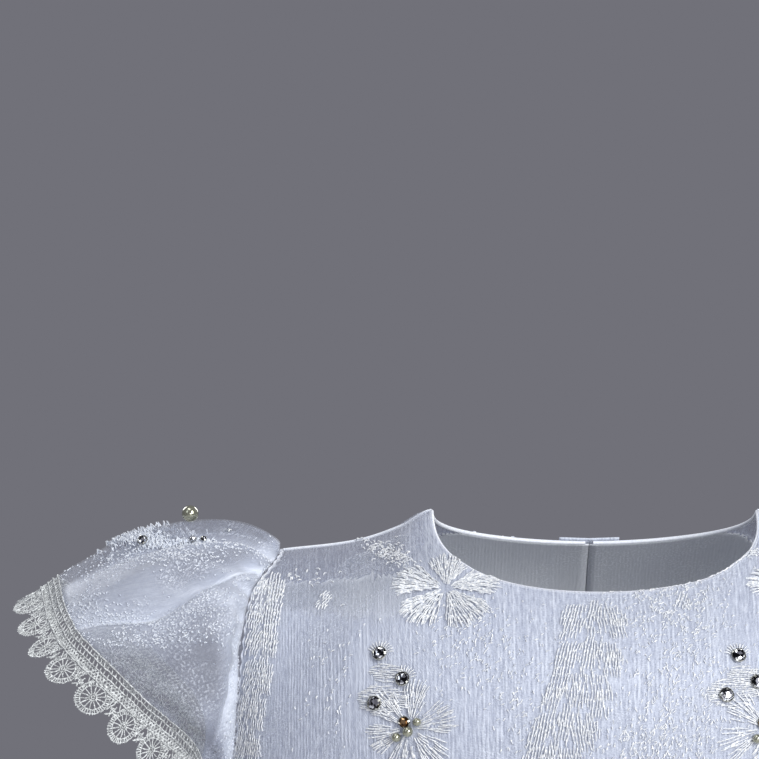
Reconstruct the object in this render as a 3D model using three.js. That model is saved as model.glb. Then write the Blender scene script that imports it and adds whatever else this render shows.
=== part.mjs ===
// A baby's christening gown in embroidered organza, worn on a general figure that isn't there:
// a bodice with a round neck, two puffed cap sleeves that end in scalloped lace, a long gathered
// skirt, and a buttoned placket down the back. Every cloth piece is a thin wall with its real cut.
// Millimetres, +Z up. The front of the gown faces -Y and the wearer's right sleeve is at -X.
// The origin is the middle of the neck hole, level with the shoulder seams beside the neck.
import * as THREE from 'three';

// Cloth
const clothWall = 1.2;
const laceWall = 1.0;
const seamGap = 0.3;
const armholeOffset = 1.7; // from the bodice's edge to the middle of the sleeve's wall
const laceOffset = 0.9; // from the cuff to the lace
const buttonOffset = 1.2; // from the middle of the placket's wall to the buttons

// Neck and shoulders
const neckHalfWidth = 42.4;
const neckFrontDrop = 15.7;
const neckBackDrop = 12;
const neckRoundness = 2.4;
const shoulderHalfWidth = 81;
const shoulderBend = -60; // height where the cloth stops curving over the shoulder
const neckRidge = { across: 2, up: 0.64 }; // powers of the bend: a slope to the neck, round at the shoulder
const shoulderLine = [
  { x: 0, z: 0 },
  { x: 42.4, z: 0 },
  { x: 50, z: -4 },
  { x: 62, z: -8 },
  { x: 81, z: -10.4 },
];

// Armholes and body
const underarm = -78;
const waist = -115;
const armholeFront = [
  { z: -10.4, x: 81 },
  { z: -18.5, x: 87.8 },
  { z: -32, x: 90.3 },
  { z: -50, x: 91.6 },
  { z: -61, x: 92.6 },
  { z: -70, x: 95.6 },
  { z: -78, x: 102 },
];
const bodySections = [
  { z: 0, half: 102, front: 62, back: 52 },
  { z: -60, half: 102, front: 62, back: 52 },
  { z: -78, half: 102, front: 62.5, back: 52.5 },
  { z: -95, half: 100.5, front: 62, back: 53.5 },
  { z: -115, half: 98, front: 60.5, back: 54 },
];

// Sleeve: where its cuff runs, the way the cloth leaves the armhole and the way it reaches the cuff
const cuffRing = [
  { angle: 0, out: 142, front: 0, up: -18.5 },
  { angle: 45, out: 135.5, front: 26, up: -28.5 },
  { angle: 90, out: 116.5, front: 36, up: -45 },
  { angle: 135, out: 102.5, front: 28, up: -62 },
  { angle: 180, out: 108.5, front: 0, up: -85 },
  { angle: 225, out: 104, front: -27, up: -63 },
  { angle: 270, out: 117, front: -34, up: -46 },
  { angle: 315, out: 135, front: -25, up: -29 },
  { angle: 360, out: 142, front: 0, up: -18.5 },
];
const sleeveStart = [
  { angle: 0, out: 4, front: 0, up: 10.5 },
  { angle: 45, out: 6, front: 11, up: 9 },
  { angle: 90, out: 3, front: 12, up: 3 },
  { angle: 135, out: 4, front: 7, up: -2 },
  { angle: 180, out: 3, front: 0, up: -1 },
  { angle: 225, out: 4, front: -7, up: -2 },
  { angle: 270, out: 3, front: -12, up: 3 },
  { angle: 315, out: 6, front: -11, up: 9 },
  { angle: 360, out: 4, front: 0, up: 10.5 },
];
const sleeveEnd = [
  { angle: 0, out: 23, front: 0, up: -18 },
  { angle: 45, out: 19, front: 4, up: -16 },
  { angle: 90, out: 9, front: 1, up: -10 },
  { angle: 135, out: 4, front: -2, up: -7 },
  { angle: 180, out: 2.2, front: 0, up: -2.4 },
  { angle: 225, out: 4, front: 2, up: -7 },
  { angle: 270, out: 9, front: -1, up: -10 },
  { angle: 315, out: 19, front: -4, up: -16 },
  { angle: 360, out: 23, front: 0, up: -18 },
];
// Large folds of a sleeve: angles round it at the armhole, at one and two thirds of its length and
// at the cuff, the angle over which each fold fades, how far it stands out, and where it begins and ends
const sleeveFolds = [
  { angles: [28, 53, 63, 42], spread: 9, lift: 2.4, begins: 0, ends: 1.02 },
  { angles: [34, 38, 40, 36], spread: 16, lift: 1.4, begins: 0.05, ends: 0.95 },
  { angles: [50, 82, 92, 60], spread: 15, lift: -3.4, begins: 0.06, ends: 1.06 },
  { angles: [4, 4, 4, 4], spread: 8, lift: -3.2, begins: 0.04, ends: 0.85 },
  { angles: [15, 14, 14, 14], spread: 6, lift: 0.8, begins: 0.04, ends: 0.9 },
  { angles: [-14, -12, -12, -12], spread: 9, lift: 1.1, begins: 0.04, ends: 0.85 },
  { angles: [-44, -50, -54, -58], spread: 16, lift: -2.2, begins: 0.06, ends: 1.05 },
  { angles: [120, 125, 128, 130], spread: 14, lift: 1.6, begins: 0.02, ends: 0.9 },
  { angles: [-80, -85, -90, -95], spread: 18, lift: 1.8, begins: 0.04, ends: 0.95 },
];
const foldBlunt = 0.7; // below 1 a fold keeps its height nearer to its ends
const capGathers = 18; // round the whole armhole; they fade out below the cap
const capGatherDepth = 0.9;
const capGatherStart = 0.083; // share of the sleeve over which the gathers rise from the seam

// Lace at the cuffs
const scallopCount = 22;
const laceStraightWidth = 6.1;
const scallopDepth = 4.4;
const laceFlare = 0.22; // how far the free edge stands out, as a share of the width

// Skirt
const hem = -620;
const skirtSections = [
  { z: -115, half: 97.6, front: 60.2, back: 53.7 },
  { z: -125, half: 101.5, front: 63.5, back: 57 },
  { z: -160, half: 121, front: 81, back: 74 },
  { z: -260, half: 154, front: 113, back: 103 },
  { z: -420, half: 190, front: 146, back: 134 },
  { z: -620, half: 226, front: 179, back: 166 },
];
const skirtWaves = 26;
const waveAtWaist = 1.3;
const waveAtHem = 11;
const waveGrowth = 0.8; // below 1 the folds open soon under the waist
// The folds aren't even: slow ripples shift them round the skirt and change their size
const waveShift = { size: 0.007, count: 3, phase: 1 };
const smallShift = { size: 0.004, count: 7, phase: 0 };
const waveSize = { size: 0.28, count: 5, phase: 2 };
const waveSizeDepth = 1 / 3; // share of the length where the sizes have grown apart

// Back placket and buttons
const placketHalfWidth = 8;
const buttonRadius = 4.2;
const buttonHeight = 3.2;
const buttonFoot = 0.9; // its flat back, as a share of its radius
const buttonRim = 0.35; // height of its widest line, as a share of its height
const buttonSides = 16;
const buttonHeights = [-20, -46, -72, -98];

// Mesh steps
const neckSteps = 7;
const shoulderSteps = 4;
const shoulderRows = 7;
const sideRows = 5;
const sleeveColumns = 40;
const sleeveRows = 9;
const scallopSteps = 6;
const laceRows = 2;
const waveSteps = 6;
const skirtRows = 9;
const rowCrowding = 1.35; // above 1 the skirt's rows lie closer near the waist

const clothLook = new THREE.MeshStandardMaterial({ color: 0xdde1f0, roughness: 0.55, metalness: 0 });
const laceLook = new THREE.MeshStandardMaterial({ color: 0xf1f1ec, roughness: 0.8, metalness: 0 });
const buttonLook = new THREE.MeshStandardMaterial({ color: 0xf0ebdc, roughness: 0.25, metalness: 0 });

const radians = THREE.MathUtils.degToRad;

function steps(count, from = 0, to = 1) {
  return Array.from({ length: count + 1 }, (_, i) => from + ((to - from) * i) / count);
}

// A column of a table as a smooth curve through its rows
function smoothRead(rows, key, column, at) {
  const last = rows.length - 1;
  const way = Math.sign(rows[last][key] - rows[0][key]);
  let i = 0;
  while (i < last - 1 && (at - rows[i + 1][key]) * way > 0) i += 1;
  const slope = (k) => {
    const before = rows[Math.max(k - 1, 0)];
    const after = rows[Math.min(k + 1, last)];
    return (after[column] - before[column]) / (after[key] - before[key]);
  };
  const span = rows[i + 1][key] - rows[i][key];
  const t = THREE.MathUtils.clamp((at - rows[i][key]) / span, 0, 1);
  const a = rows[i][column];
  const b = rows[i + 1][column];
  return (
    a * (1 + 2 * t) * (1 - t) ** 2 +
    slope(i) * span * t * (1 - t) ** 2 +
    b * t * t * (3 - 2 * t) +
    slope(i + 1) * span * t * t * (t - 1)
  );
}

const turned = (angle) => ((angle % 360) + 360) % 360;

// A vector read from a ring table, for the sleeve on side +1 or -1
function readRing(rows, angle, side) {
  const at = turned(angle);
  return new THREE.Vector3(
    side * smoothRead(rows, 'angle', 'out', at),
    -smoothRead(rows, 'angle', 'front', at),
    smoothRead(rows, 'angle', 'up', at),
  );
}

// A closed wall of even thickness round a surface, open at its edges or joined into a ring;
// bodice walls are kept on their own face's side of the seams
function wallOf(surface, across, along, thickness, { joined = false, face = 0 } = {}) {
  const nudge = 1e-3;
  const columns = joined ? across.slice(0, -1) : across;
  const first = { u: across[0], v: along[0] };
  const end = { u: across[across.length - 1], v: along[along.length - 1] };
  const point = (u, v) => surface(joined ? u : THREE.MathUtils.clamp(u, first.u, end.u), v);
  const outer = [];
  const inner = [];
  for (const v of along) {
    for (const u of columns) {
      const p = point(u, v);
      const du = point(u + nudge, v).sub(point(u - nudge, v));
      const dv = surface(u, Math.min(v + nudge, end.v)).sub(surface(u, Math.max(v - nudge, first.v)));
      const normal = du.cross(dv).normalize().multiplyScalar(thickness / 2);
      outer.push(p.clone().add(normal));
      inner.push(p.clone().sub(normal));
    }
  }
  const width = columns.length;
  const sheets = width * along.length;
  const index = [];
  const quad = (a, b, c, d) => index.push(a, b, c, a, c, d);
  const spans = joined ? width : width - 1;
  for (let j = 0; j < along.length - 1; j += 1) {
    for (let i = 0; i < spans; i += 1) {
      const a = j * width + i;
      const b = j * width + ((i + 1) % width);
      quad(a, b, b + width, a + width);
      quad(sheets + a, sheets + a + width, sheets + b + width, sheets + b);
    }
    if (!joined) {
      const right = j * width + width - 1;
      quad(j * width, (j + 1) * width, sheets + (j + 1) * width, sheets + j * width);
      quad(right, sheets + right, sheets + right + width, right + width);
    }
  }
  const bottom = (along.length - 1) * width;
  for (let i = 0; i < spans; i += 1) {
    const next = (i + 1) % width;
    quad(i, sheets + i, sheets + next, next);
    quad(bottom + i, bottom + next, sheets + bottom + next, sheets + bottom + i);
  }
  const points = outer.concat(inner);
  for (const p of points) if (face * p.y < (Math.abs(face) * seamGap) / 2) p.y = (face * seamGap) / 2;
  return facingOut(points, index);
}

// Turns a closed mesh so that its faces point out
function facingOut(points, index) {
  let volume = 0;
  for (let i = 0; i < index.length; i += 3) {
    const [a, b, c] = [points[index[i]], points[index[i + 1]], points[index[i + 2]]];
    volume += a.dot(b.clone().cross(c));
  }
  const facing = volume < 0 ? index.reverse() : index;
  return new THREE.BufferGeometry().setFromPoints(points).setIndex(facing);
}

// Half-width of the bodice's panel at a height: its armhole above the underarm, its side seam below
function panelEdge(z) {
  if (z <= underarm) return smoothRead(bodySections, 'z', 'half', z);
  return smoothRead(armholeFront, 'z', 'x', z);
}

const topHalf = bodySections[0].half;
const topAngle = Math.asin(shoulderHalfWidth / topHalf);

// The bodice's surface: share runs from -1 to 1 across a panel, and outward from 0 at the shoulder
// seam to 1 where the panel is as deep as the body
function bodicePoint(face, share, z, outward) {
  const half = smoothRead(bodySections, 'z', 'half', z);
  const depth = smoothRead(bodySections, 'z', face < 0 ? 'front' : 'back', z);
  const angle = share * Math.asin(Math.min(panelEdge(z) / half, 1));
  return new THREE.Vector3(
    half * Math.sin(angle),
    face * (depth * Math.cos(angle) * outward + seamGap / 2),
    z,
  );
}

// Across half a panel: shares along its top edge, with the corner of neck and shoulder at cornerAt
const cornerAt = neckSteps / (neckSteps + shoulderSteps);
function topX(u) {
  const t = Math.abs(u);
  if (t < cornerAt) return neckHalfWidth * Math.sin((t / cornerAt) * (Math.PI / 2));
  return neckHalfWidth + ((shoulderHalfWidth - neckHalfWidth) * (t - cornerAt)) / (1 - cornerAt);
}

// Down a panel: rows 0 to 1 curve over the shoulder from the neckline or the shoulder seam,
// and rows 1 to 2 run to the waist
function panelPoint(face, u, row) {
  if (row > 1) return bodicePoint(face, u, shoulderBend + (waist - shoulderBend) * (row - 1), 1);
  const x = topX(u);
  const top = smoothRead(shoulderLine, 'x', 'z', x) - shoulderBend;
  const drop = face < 0 ? neckFrontDrop : neckBackDrop;
  const inNeck = Math.max(1 - (x / neckHalfWidth) ** neckRoundness, 0);
  const edge = top - drop * inNeck ** (1 / neckRoundness);
  const ridge = 1 - THREE.MathUtils.smoothstep(x, neckHalfWidth, shoulderHalfWidth);
  const across = 1 + (neckRidge.across - 1) * ridge;
  const up = 1 + (neckRidge.up - 1) * ridge;
  const bend = Math.asin(Math.min(edge / top, 1) ** (1 / up)) * (1 - row);
  const topShare = (Math.sign(u) * Math.asin(x / topHalf)) / topAngle;
  const share = topShare + (u - topShare) * row;
  return bodicePoint(face, share, shoulderBend + top * Math.sin(bend) ** up, Math.cos(bend) ** across);
}

const halfSteps = steps(neckSteps + shoulderSteps);
const underarmRow = 1 + (underarm - shoulderBend) / (waist - shoulderBend);
const panelRows = steps(shoulderRows)
  .concat(steps(2, 1, underarmRow).slice(1))
  .concat(steps(sideRows - 2, underarmRow, 2).slice(1));

function bodiceFront() {
  const left = halfSteps.slice(1).reverse().map((u) => -u);
  return wallOf((u, v) => panelPoint(-1, u, v), left.concat(halfSteps), panelRows, clothWall, { face: -1 });
}

// Each half of the back stops half a seam gap short of the middle
function bodiceBack(side) {
  const surface = (u, v) => {
    const p = panelPoint(1, u * side, v);
    p.x += (side * seamGap * (1 - u)) / 2;
    return p;
  };
  return wallOf(surface, halfSteps, panelRows, clothWall, { face: 1 });
}

// The armhole's edge at an angle round it, 0 at the shoulder, 90 in front and 180 under the arm
function armholePoint(angle, side) {
  const top = shoulderLine[shoulderLine.length - 1].z;
  const z = (top + underarm) / 2 + ((top - underarm) / 2) * Math.cos(radians(angle));
  const bend = Math.asin(THREE.MathUtils.clamp((z - shoulderBend) / (top - shoulderBend), 0, 1));
  const face = Math.sin(radians(angle)) >= 0 ? -1 : 1;
  const p = bodicePoint(face, side, z, Math.cos(bend));
  p.y -= (face * seamGap) / 2;
  return p;
}

const wrapped = (angle) => turned(angle + 180) - 180;
const bump = (distance) => Math.exp(-distance * distance);

// How far a sleeve's cloth stands out from its plain shape
function sleeveFold(angle, run) {
  let lift = 0;
  for (const fold of sleeveFolds) {
    const middle = smoothRead(fold.angles.map((at, i) => ({ run: i / 3, at })), 'run', 'at', run);
    const share = THREE.MathUtils.clamp((run - fold.begins) / (fold.ends - fold.begins), 0, 1);
    const height = fold.lift * Math.sin(Math.PI * share) ** foldBlunt;
    lift += height * bump(wrapped(angle - middle) / fold.spread);
  }
  const cap = (1 + Math.cos(radians(angle))) / 2;
  const gathers = capGatherDepth * Math.cos(radians(angle) * capGathers) * cap * cap * (1 - run) ** 2;
  return lift + gathers * Math.min(run / capGatherStart, 1);
}

// The sleeve's plain shape: run goes from 0 at the armhole to 1 at the cuff
function sleeveBase(angle, run, side) {
  const reach = readRing(sleeveStart, angle, side);
  const start = armholePoint(angle, side);
  start.x += side * armholeOffset;
  const end = readRing(cuffRing, angle, side);
  return new THREE.CubicBezierCurve3(
    start,
    start.clone().add(reach),
    end.clone().sub(readRing(sleeveEnd, angle, side)),
    end,
  ).getPoint(run);
}

function sleevePoint(angle, run, side) {
  const p = sleeveBase(angle, run, side);
  const nudge = 0.01;
  const [low, high] = [Math.max(run - nudge, 0), Math.min(run + nudge, 1)];
  const round = sleeveBase(angle + 1, run, side).sub(sleeveBase(angle - 1, run, side));
  const down = sleeveBase(angle, high, side).sub(sleeveBase(angle, low, side));
  const out = down.cross(round).normalize().multiplyScalar(side);
  return p.addScaledVector(out, sleeveFold(angle, run));
}

function sleeve(side) {
  const surface = (u, v) => sleevePoint(u * 360, v, side);
  return wallOf(surface, steps(sleeveColumns), steps(sleeveRows), clothWall, { joined: true });
}

// Lace goes on from the cuff: across runs from 0 at its straight edge to 1 at the scallops
function lacePoint(angle, across, side) {
  const edge = sleevePoint(angle, 1, side);
  const along = readRing(sleeveEnd, angle, side).normalize();
  const middle = readRing(cuffRing, 90, side).add(readRing(cuffRing, 270, side)).multiplyScalar(0.5);
  const away = edge.clone().sub(middle).projectOnPlane(along).normalize();
  const scallop = (angle / 360) * scallopCount;
  const arc = Math.sqrt(Math.max(1 - (2 * (scallop - Math.floor(scallop)) - 1) ** 2, 0));
  const width = laceStraightWidth + scallopDepth * arc;
  return edge
    .addScaledVector(along, laceOffset + width * across)
    .addScaledVector(away, laceFlare * width * across * across);
}

function cuffLace(side) {
  const surface = (u, v) => lacePoint(turned(u * 360), v, side);
  return wallOf(surface, steps(scallopCount * scallopSteps), steps(laceRows), laceWall, { joined: true });
}

const ripple = (of, angle) => of.size * Math.sin(angle * of.count + of.phase);

// The skirt's ring: turn 0 is its side at +X, 0.25 the middle of the front, 0.5 the side at -X
function skirtPoint(turn, z) {
  const angle = turn * 2 * Math.PI;
  const half = smoothRead(skirtSections, 'z', 'half', z);
  const depth = smoothRead(skirtSections, 'z', turn < 0.5 ? 'front' : 'back', z);
  const outward = new THREE.Vector3(Math.cos(angle) / half, -Math.sin(angle) / depth, 0).normalize();
  const fall = (waist - z) / (waist - hem);
  const uneven = turn + ripple(waveShift, angle) + ripple(smallShift, angle);
  const size = 1 + ripple(waveSize, angle) * Math.min(fall / waveSizeDepth, 1);
  const wave = Math.cos(uneven * 2 * Math.PI * skirtWaves) * size;
  const depthOfWave = waveAtWaist + (waveAtHem - waveAtWaist) * fall ** waveGrowth;
  return new THREE.Vector3(half * Math.cos(angle), -depth * Math.sin(angle), z).addScaledVector(
    outward,
    wave * depthOfWave,
  );
}

function skirtPanel(from, to) {
  const top = waist - 2 * seamGap;
  const surface = (u, v) => {
    const gap = seamGap / (2 * Math.PI * smoothRead(skirtSections, 'z', 'half', v));
    return skirtPoint(THREE.MathUtils.clamp(u, from + gap, to - gap), v);
  };
  const columns = steps((skirtWaves / 2) * waveSteps, from, to);
  const heights = steps(skirtRows).map((t) => top + (hem - top) * t ** rowCrowding);
  return wallOf(surface, columns, heights, clothWall);
}

// The placket is made from the points of the back panels' first columns, moved out by a wall and a gap
function placketPoint(x, row) {
  const first = halfSteps[1] * (x < 0 ? -1 : 1);
  const onPanel = (at) => {
    const middle = panelPoint(1, 0, at);
    const beside = panelPoint(1, first, at);
    return middle.lerp(beside, x / beside.x);
  };
  const nudge = 1e-3;
  const down = onPanel(Math.min(row + nudge, 2)).sub(onPanel(Math.max(row - nudge, 0)));
  const out = new THREE.Vector3(1, 0, 0).cross(down).normalize();
  return onPanel(row).addScaledVector(out, clothWall + seamGap);
}

function placket() {
  return wallOf(placketPoint, steps(4, -placketHalfWidth, placketHalfWidth), panelRows, clothWall);
}

function button() {
  const dome = steps(6).map((t) => {
    const angle = (t * Math.PI) / 2;
    const height = buttonRim + (1 - buttonRim) * Math.sin(angle);
    return new THREE.Vector2(buttonRadius * Math.cos(angle), buttonHeight * height);
  });
  dome[dome.length - 1].x = 0;
  const back = [new THREE.Vector2(0, 0), new THREE.Vector2(buttonRadius * buttonFoot, 0)];
  return new THREE.LatheGeometry(back.concat(dome), buttonSides);
}

// The row of the back panel that lies at a height, at the middle of the back
function rowAtHeight(z) {
  let [low, high] = [0, 2];
  while (high - low > 1e-4) {
    const middle = (low + high) / 2;
    if (panelPoint(1, 0, middle).z > z) low = middle;
    else high = middle;
  }
  return low;
}

function placeButton(mesh, z) {
  const row = rowAtHeight(z);
  const seat = placketPoint(0, row);
  const out = placketPoint(0, row).sub(panelPoint(1, 0, row)).normalize();
  mesh.position.copy(seat).addScaledVector(out, buttonOffset);
  mesh.quaternion.setFromUnitVectors(new THREE.Vector3(0, 1, 0), out);
}

const gown = new THREE.Group();

function addPiece(name, geometry, look) {
  const mesh = new THREE.Mesh(geometry, look);
  mesh.name = name;
  gown.add(mesh);
  return mesh;
}

const sides = [
  { name: 'left', side: 1 },
  { name: 'right', side: -1 },
];
addPiece('bodice_front', bodiceFront(), clothLook);
addPiece('skirt_front', skirtPanel(0, 0.5), clothLook);
addPiece('skirt_back', skirtPanel(0.5, 1), clothLook);
for (const { name, side } of sides) {
  addPiece(`bodice_back_${name}`, bodiceBack(side), clothLook);
  addPiece(`sleeve_${name}`, sleeve(side), clothLook);
  addPiece(`cuff_lace_${name}`, cuffLace(side), laceLook);
}
addPiece('back_placket', placket(), clothLook);
buttonHeights.forEach((z, i) => placeButton(addPiece(`button_${i + 1}`, button(), buttonLook), z));

export default gown;
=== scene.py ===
import bmesh
import bpy
import math
import random
import numpy as np
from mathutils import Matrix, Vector
from mathutils.bvhtree import BVHTree


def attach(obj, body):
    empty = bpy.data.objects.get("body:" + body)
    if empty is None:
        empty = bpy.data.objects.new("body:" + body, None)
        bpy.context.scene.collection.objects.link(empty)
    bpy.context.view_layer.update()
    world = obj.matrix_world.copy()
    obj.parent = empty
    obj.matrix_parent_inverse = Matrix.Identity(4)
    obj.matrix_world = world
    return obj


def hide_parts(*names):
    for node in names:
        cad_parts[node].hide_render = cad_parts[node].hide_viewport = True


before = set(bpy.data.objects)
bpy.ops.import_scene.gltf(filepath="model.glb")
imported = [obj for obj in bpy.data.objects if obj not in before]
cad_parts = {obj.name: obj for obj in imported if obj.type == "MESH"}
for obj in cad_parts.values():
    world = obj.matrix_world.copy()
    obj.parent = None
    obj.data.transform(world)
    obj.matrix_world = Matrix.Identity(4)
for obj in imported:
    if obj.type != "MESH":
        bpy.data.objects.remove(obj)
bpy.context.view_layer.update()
mm = 0.001

# sizes of the gown's own shape, in millimetres, the same as the solid model's
bodice = {
    "neckHalfWidth": 42.4, "neckFrontDrop": 15.7, "neckBackDrop": 12, "neckRoundness": 2.4,
    "shoulderHalfWidth": 81, "shoulderBend": -60, "ridgeAcross": 2, "ridgeUp": 0.64,
    "underarm": -78, "waist": -115, "cornerAt": 7 / 11,
    "shoulderX": [0, 42.4, 50, 62, 81], "shoulderZ": [0, 0, -4, -8, -10.4],
    "armholeZ": [-10.4, -18.5, -32, -50, -61, -70, -78],
    "armholeX": [81, 87.8, 90.3, 91.6, 92.6, 95.6, 102],
    "z": [0, -60, -78, -95, -115], "half": [102, 102, 102, 100.5, 98],
    "front": [62, 62, 62.5, 62, 60.5], "back": [52, 52, 52.5, 53.5, 54],
}
sleeve = {
    "angle": [0, 45, 90, 135, 180, 225, 270, 315, 360],
    "cuffOut": [142, 135.5, 116.5, 102.5, 108.5, 104, 117, 135, 142],
    "cuffFront": [0, 26, 36, 28, 0, -27, -34, -25, 0],
    "cuffUp": [-18.5, -28.5, -45, -62, -85, -63, -46, -29, -18.5],
    "startOut": [4, 6, 3, 4, 3, 4, 3, 6, 4],
    "startFront": [0, 11, 12, 7, 0, -7, -12, -11, 0],
    "startUp": [10.5, 9, 3, -2, -1, -2, 3, 9, 10.5],
    "endOut": [23, 19, 9, 4, 2.2, 4, 9, 19, 23],
    "endFront": [0, 4, 1, -2, 0, 2, -1, -4, 0],
    "endUp": [-18, -16, -10, -7, -2.4, -7, -10, -16, -18],
    "offset": 1.0,
    # angles at the armhole, at one and two thirds and at the cuff; spread, lift, begins, ends, lower spread
    "folds": [
        ((27, 45, 57, 41), 13, 5.6, -0.02, 1.04, 2.2), ((30, 32, 36, 34), 10, -1.5, 0.08, 0.92),
        ((45, 66, 76, 56), 9, -3.0, 0.02, 1.0, 9), ((40, 90, 98, 72), 16, -5.6, 0.12, 1.08, 16),
        ((4, 4, 4, 4), 8, -3.2, 0.04, 0.85), ((15, 14, 14, 14), 10, 2.2, 0.02, 0.92, 4),
        ((-14, -12, -12, -12), 9, 1.1, 0.04, 0.85), ((70, 118, 126, 112), 8, 2.6, -0.05, 0.98, 7),
        ((-44, -50, -54, -58), 16, -2.2, 0.06, 1.05), ((125, 140, 144, 146), 10, -1.8, 0.1, 0.95),
        ((-30, -28, -30, -34), 12, 2.6, 0.02, 0.95, 5), ((-80, -85, -90, -95), 18, 2.2, 0.04, 0.95),
    ],
    "gathers": 26, "gatherDepth": 1.6, "gatherStart": 0.05,
}
lace = {"scallops": 22, "straight": 6.1, "scallopDepth": 4.4, "flare": 0.22, "offset": 0.2, "header": 2.7}
skirt = {
    "z": [-115, -125, -160, -260, -420, -620], "half": [97.6, 101.5, 121, 154, 190, 226],
    "front": [60.2, 63.5, 81, 113, 146, 179], "back": [53.7, 57, 74, 103, 134, 166],
    "hem": -620, "waves": 26, "waistWave": 1.3, "hemWave": 11, "growth": 0.8,
    "gathers": 88, "gatherDepth": 0.9, "gatherLength": 0.16,
}
# picture places are pixels of the main view, which is square
camera = {
    "lens": 201, "sensor": 36, "distance": 1100, "elevation": 6, "aim": (-55.97, 0, 34.6),
    "pixelsPerMm": 3.85, "pictureMiddle": 379.5, "gownMiddle": 595, "neckPoint": 512,
}


# surfaces

def readCurve(keys, values, at):
    keys, values = np.array(keys, float), np.array(values, float)
    if keys[0] > keys[-1]:
        keys, values = keys[::-1], values[::-1]
    last = len(keys) - 1
    slope = np.empty(last + 1)
    for k in range(last + 1):
        a, b = max(k - 1, 0), min(k + 1, last)
        slope[k] = (values[b] - values[a]) / (keys[b] - keys[a])
    at = np.asarray(at, float)
    i = np.clip(np.searchsorted(keys, at, side="right") - 1, 0, last - 1)
    span = keys[i + 1] - keys[i]
    t = np.clip((at - keys[i]) / span, 0, 1)
    return (values[i] * (1 + 2 * t) * (1 - t) ** 2 + slope[i] * span * t * (1 - t) ** 2
            + values[i + 1] * t * t * (3 - 2 * t) + slope[i + 1] * span * t * t * (t - 1))


def smoothStep(x, low, high):
    t = np.clip((np.asarray(x, float) - low) / (high - low), 0, 1)
    return t * t * (3 - 2 * t)


def panelEdge(z):
    b = bodice
    armhole = readCurve(b["armholeZ"], b["armholeX"], z)
    return np.where(z <= b["underarm"], readCurve(b["z"], b["half"], z), armhole)


def bodicePoint(face, share, z, outward):
    b = bodice
    half = readCurve(b["z"], b["half"], z)
    depth = readCurve(b["z"], b["front"] if face < 0 else b["back"], z)
    angle = share * np.arcsin(np.minimum(panelEdge(z) / half, 1))
    return np.stack([half * np.sin(angle), face * depth * np.cos(angle) * outward, z], axis=-1)


def panelPoint(face, u, row):
    b = bodice
    u, row = np.broadcast_arrays(np.asarray(u, float), np.asarray(row, float))
    bend = b["shoulderBend"]
    t = np.abs(u)
    c = b["cornerAt"]
    x = np.where(t < c, b["neckHalfWidth"] * np.sin(np.minimum(t / c, 1) * math.pi / 2),
                 b["neckHalfWidth"] + (b["shoulderHalfWidth"] - b["neckHalfWidth"]) * (t - c) / (1 - c))
    top = readCurve(b["shoulderX"], b["shoulderZ"], x) - bend
    drop = b["neckFrontDrop"] if face < 0 else b["neckBackDrop"]
    inNeck = np.maximum(1 - (x / b["neckHalfWidth"]) ** b["neckRoundness"], 0)
    edge = top - drop * inNeck ** (1 / b["neckRoundness"])
    ridge = 1 - smoothStep(x, b["neckHalfWidth"], b["shoulderHalfWidth"])
    across = 1 + (b["ridgeAcross"] - 1) * ridge
    up = 1 + (b["ridgeUp"] - 1) * ridge
    over = np.minimum(row, 1)
    turn = np.arcsin(np.minimum(edge / top, 1) ** (1 / up)) * (1 - over)
    topAngle = math.asin(b["shoulderHalfWidth"] / b["half"][0])
    topShare = np.sign(u) * np.arcsin(np.minimum(x / b["half"][0], 1)) / topAngle
    share = topShare + (u - topShare) * over
    upper = bodicePoint(face, share, bend + top * np.sin(turn) ** up, np.cos(turn) ** across)
    lower = bodicePoint(face, u, bend + (b["waist"] - bend) * np.maximum(row - 1, 0), 1.0)
    return np.where((row <= 1)[..., None], upper, lower)


def armholePoint(angle, side):
    b = bodice
    top, low = b["shoulderZ"][-1], b["underarm"]
    z = (top + low) / 2 + (top - low) / 2 * np.cos(np.radians(angle))
    bend = np.arcsin(np.clip((z - b["shoulderBend"]) / (top - b["shoulderBend"]), 0, 1))
    face = np.where(np.sin(np.radians(angle)) >= 0, -1, 1)
    front = bodicePoint(-1, side * 1.0, z, np.cos(bend))
    back = bodicePoint(1, side * 1.0, z, np.cos(bend))
    return np.where((face < 0)[..., None], front, back)


def ringVector(name, angle, side):
    at = np.mod(angle, 360)
    out, front, up = (readCurve(sleeve["angle"], sleeve[name + way], at) for way in ("Out", "Front", "Up"))
    return np.stack([side * out, -front, up], axis=-1)


def sleeveBase(angle, run, side):
    angle, run = np.broadcast_arrays(np.asarray(angle, float), np.asarray(run, float))
    start = armholePoint(angle, side)
    start[..., 0] += side * sleeve["offset"]
    end = ringVector("cuff", angle, side)
    a = start + ringVector("start", angle, side)
    b = end - ringVector("end", angle, side)
    t = run[..., None]
    return start * (1 - t) ** 3 + 3 * a * t * (1 - t) ** 2 + 3 * b * t * t * (1 - t) + end * t ** 3


def sleeveLift(angle, run):
    lift = np.zeros(np.broadcast(angle, run).shape)
    for middles, above, height, starts, ends, *steep in sleeve["folds"]:
        away = np.mod(angle - readCurve([0, 1 / 3, 2 / 3, 1], middles, run) + 180, 360) - 180
        spread = np.where(away > 0, steep[0] if steep else above, above)
        share = np.clip((run - starts) / (ends - starts), 0, 1)
        lift = lift + height * np.exp(-(away / spread) ** 2) * np.abs(np.sin(np.pi * share)) ** 0.7
    cap = (1 + np.cos(np.radians(angle))) / 2
    ripples = sleeve["gatherDepth"] * np.cos(np.radians(angle) * sleeve["gathers"])
    ripples = ripples * cap ** 2 * (1 - run) ** 2
    return lift + ripples * np.minimum(run / sleeve["gatherStart"], 1)


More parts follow.
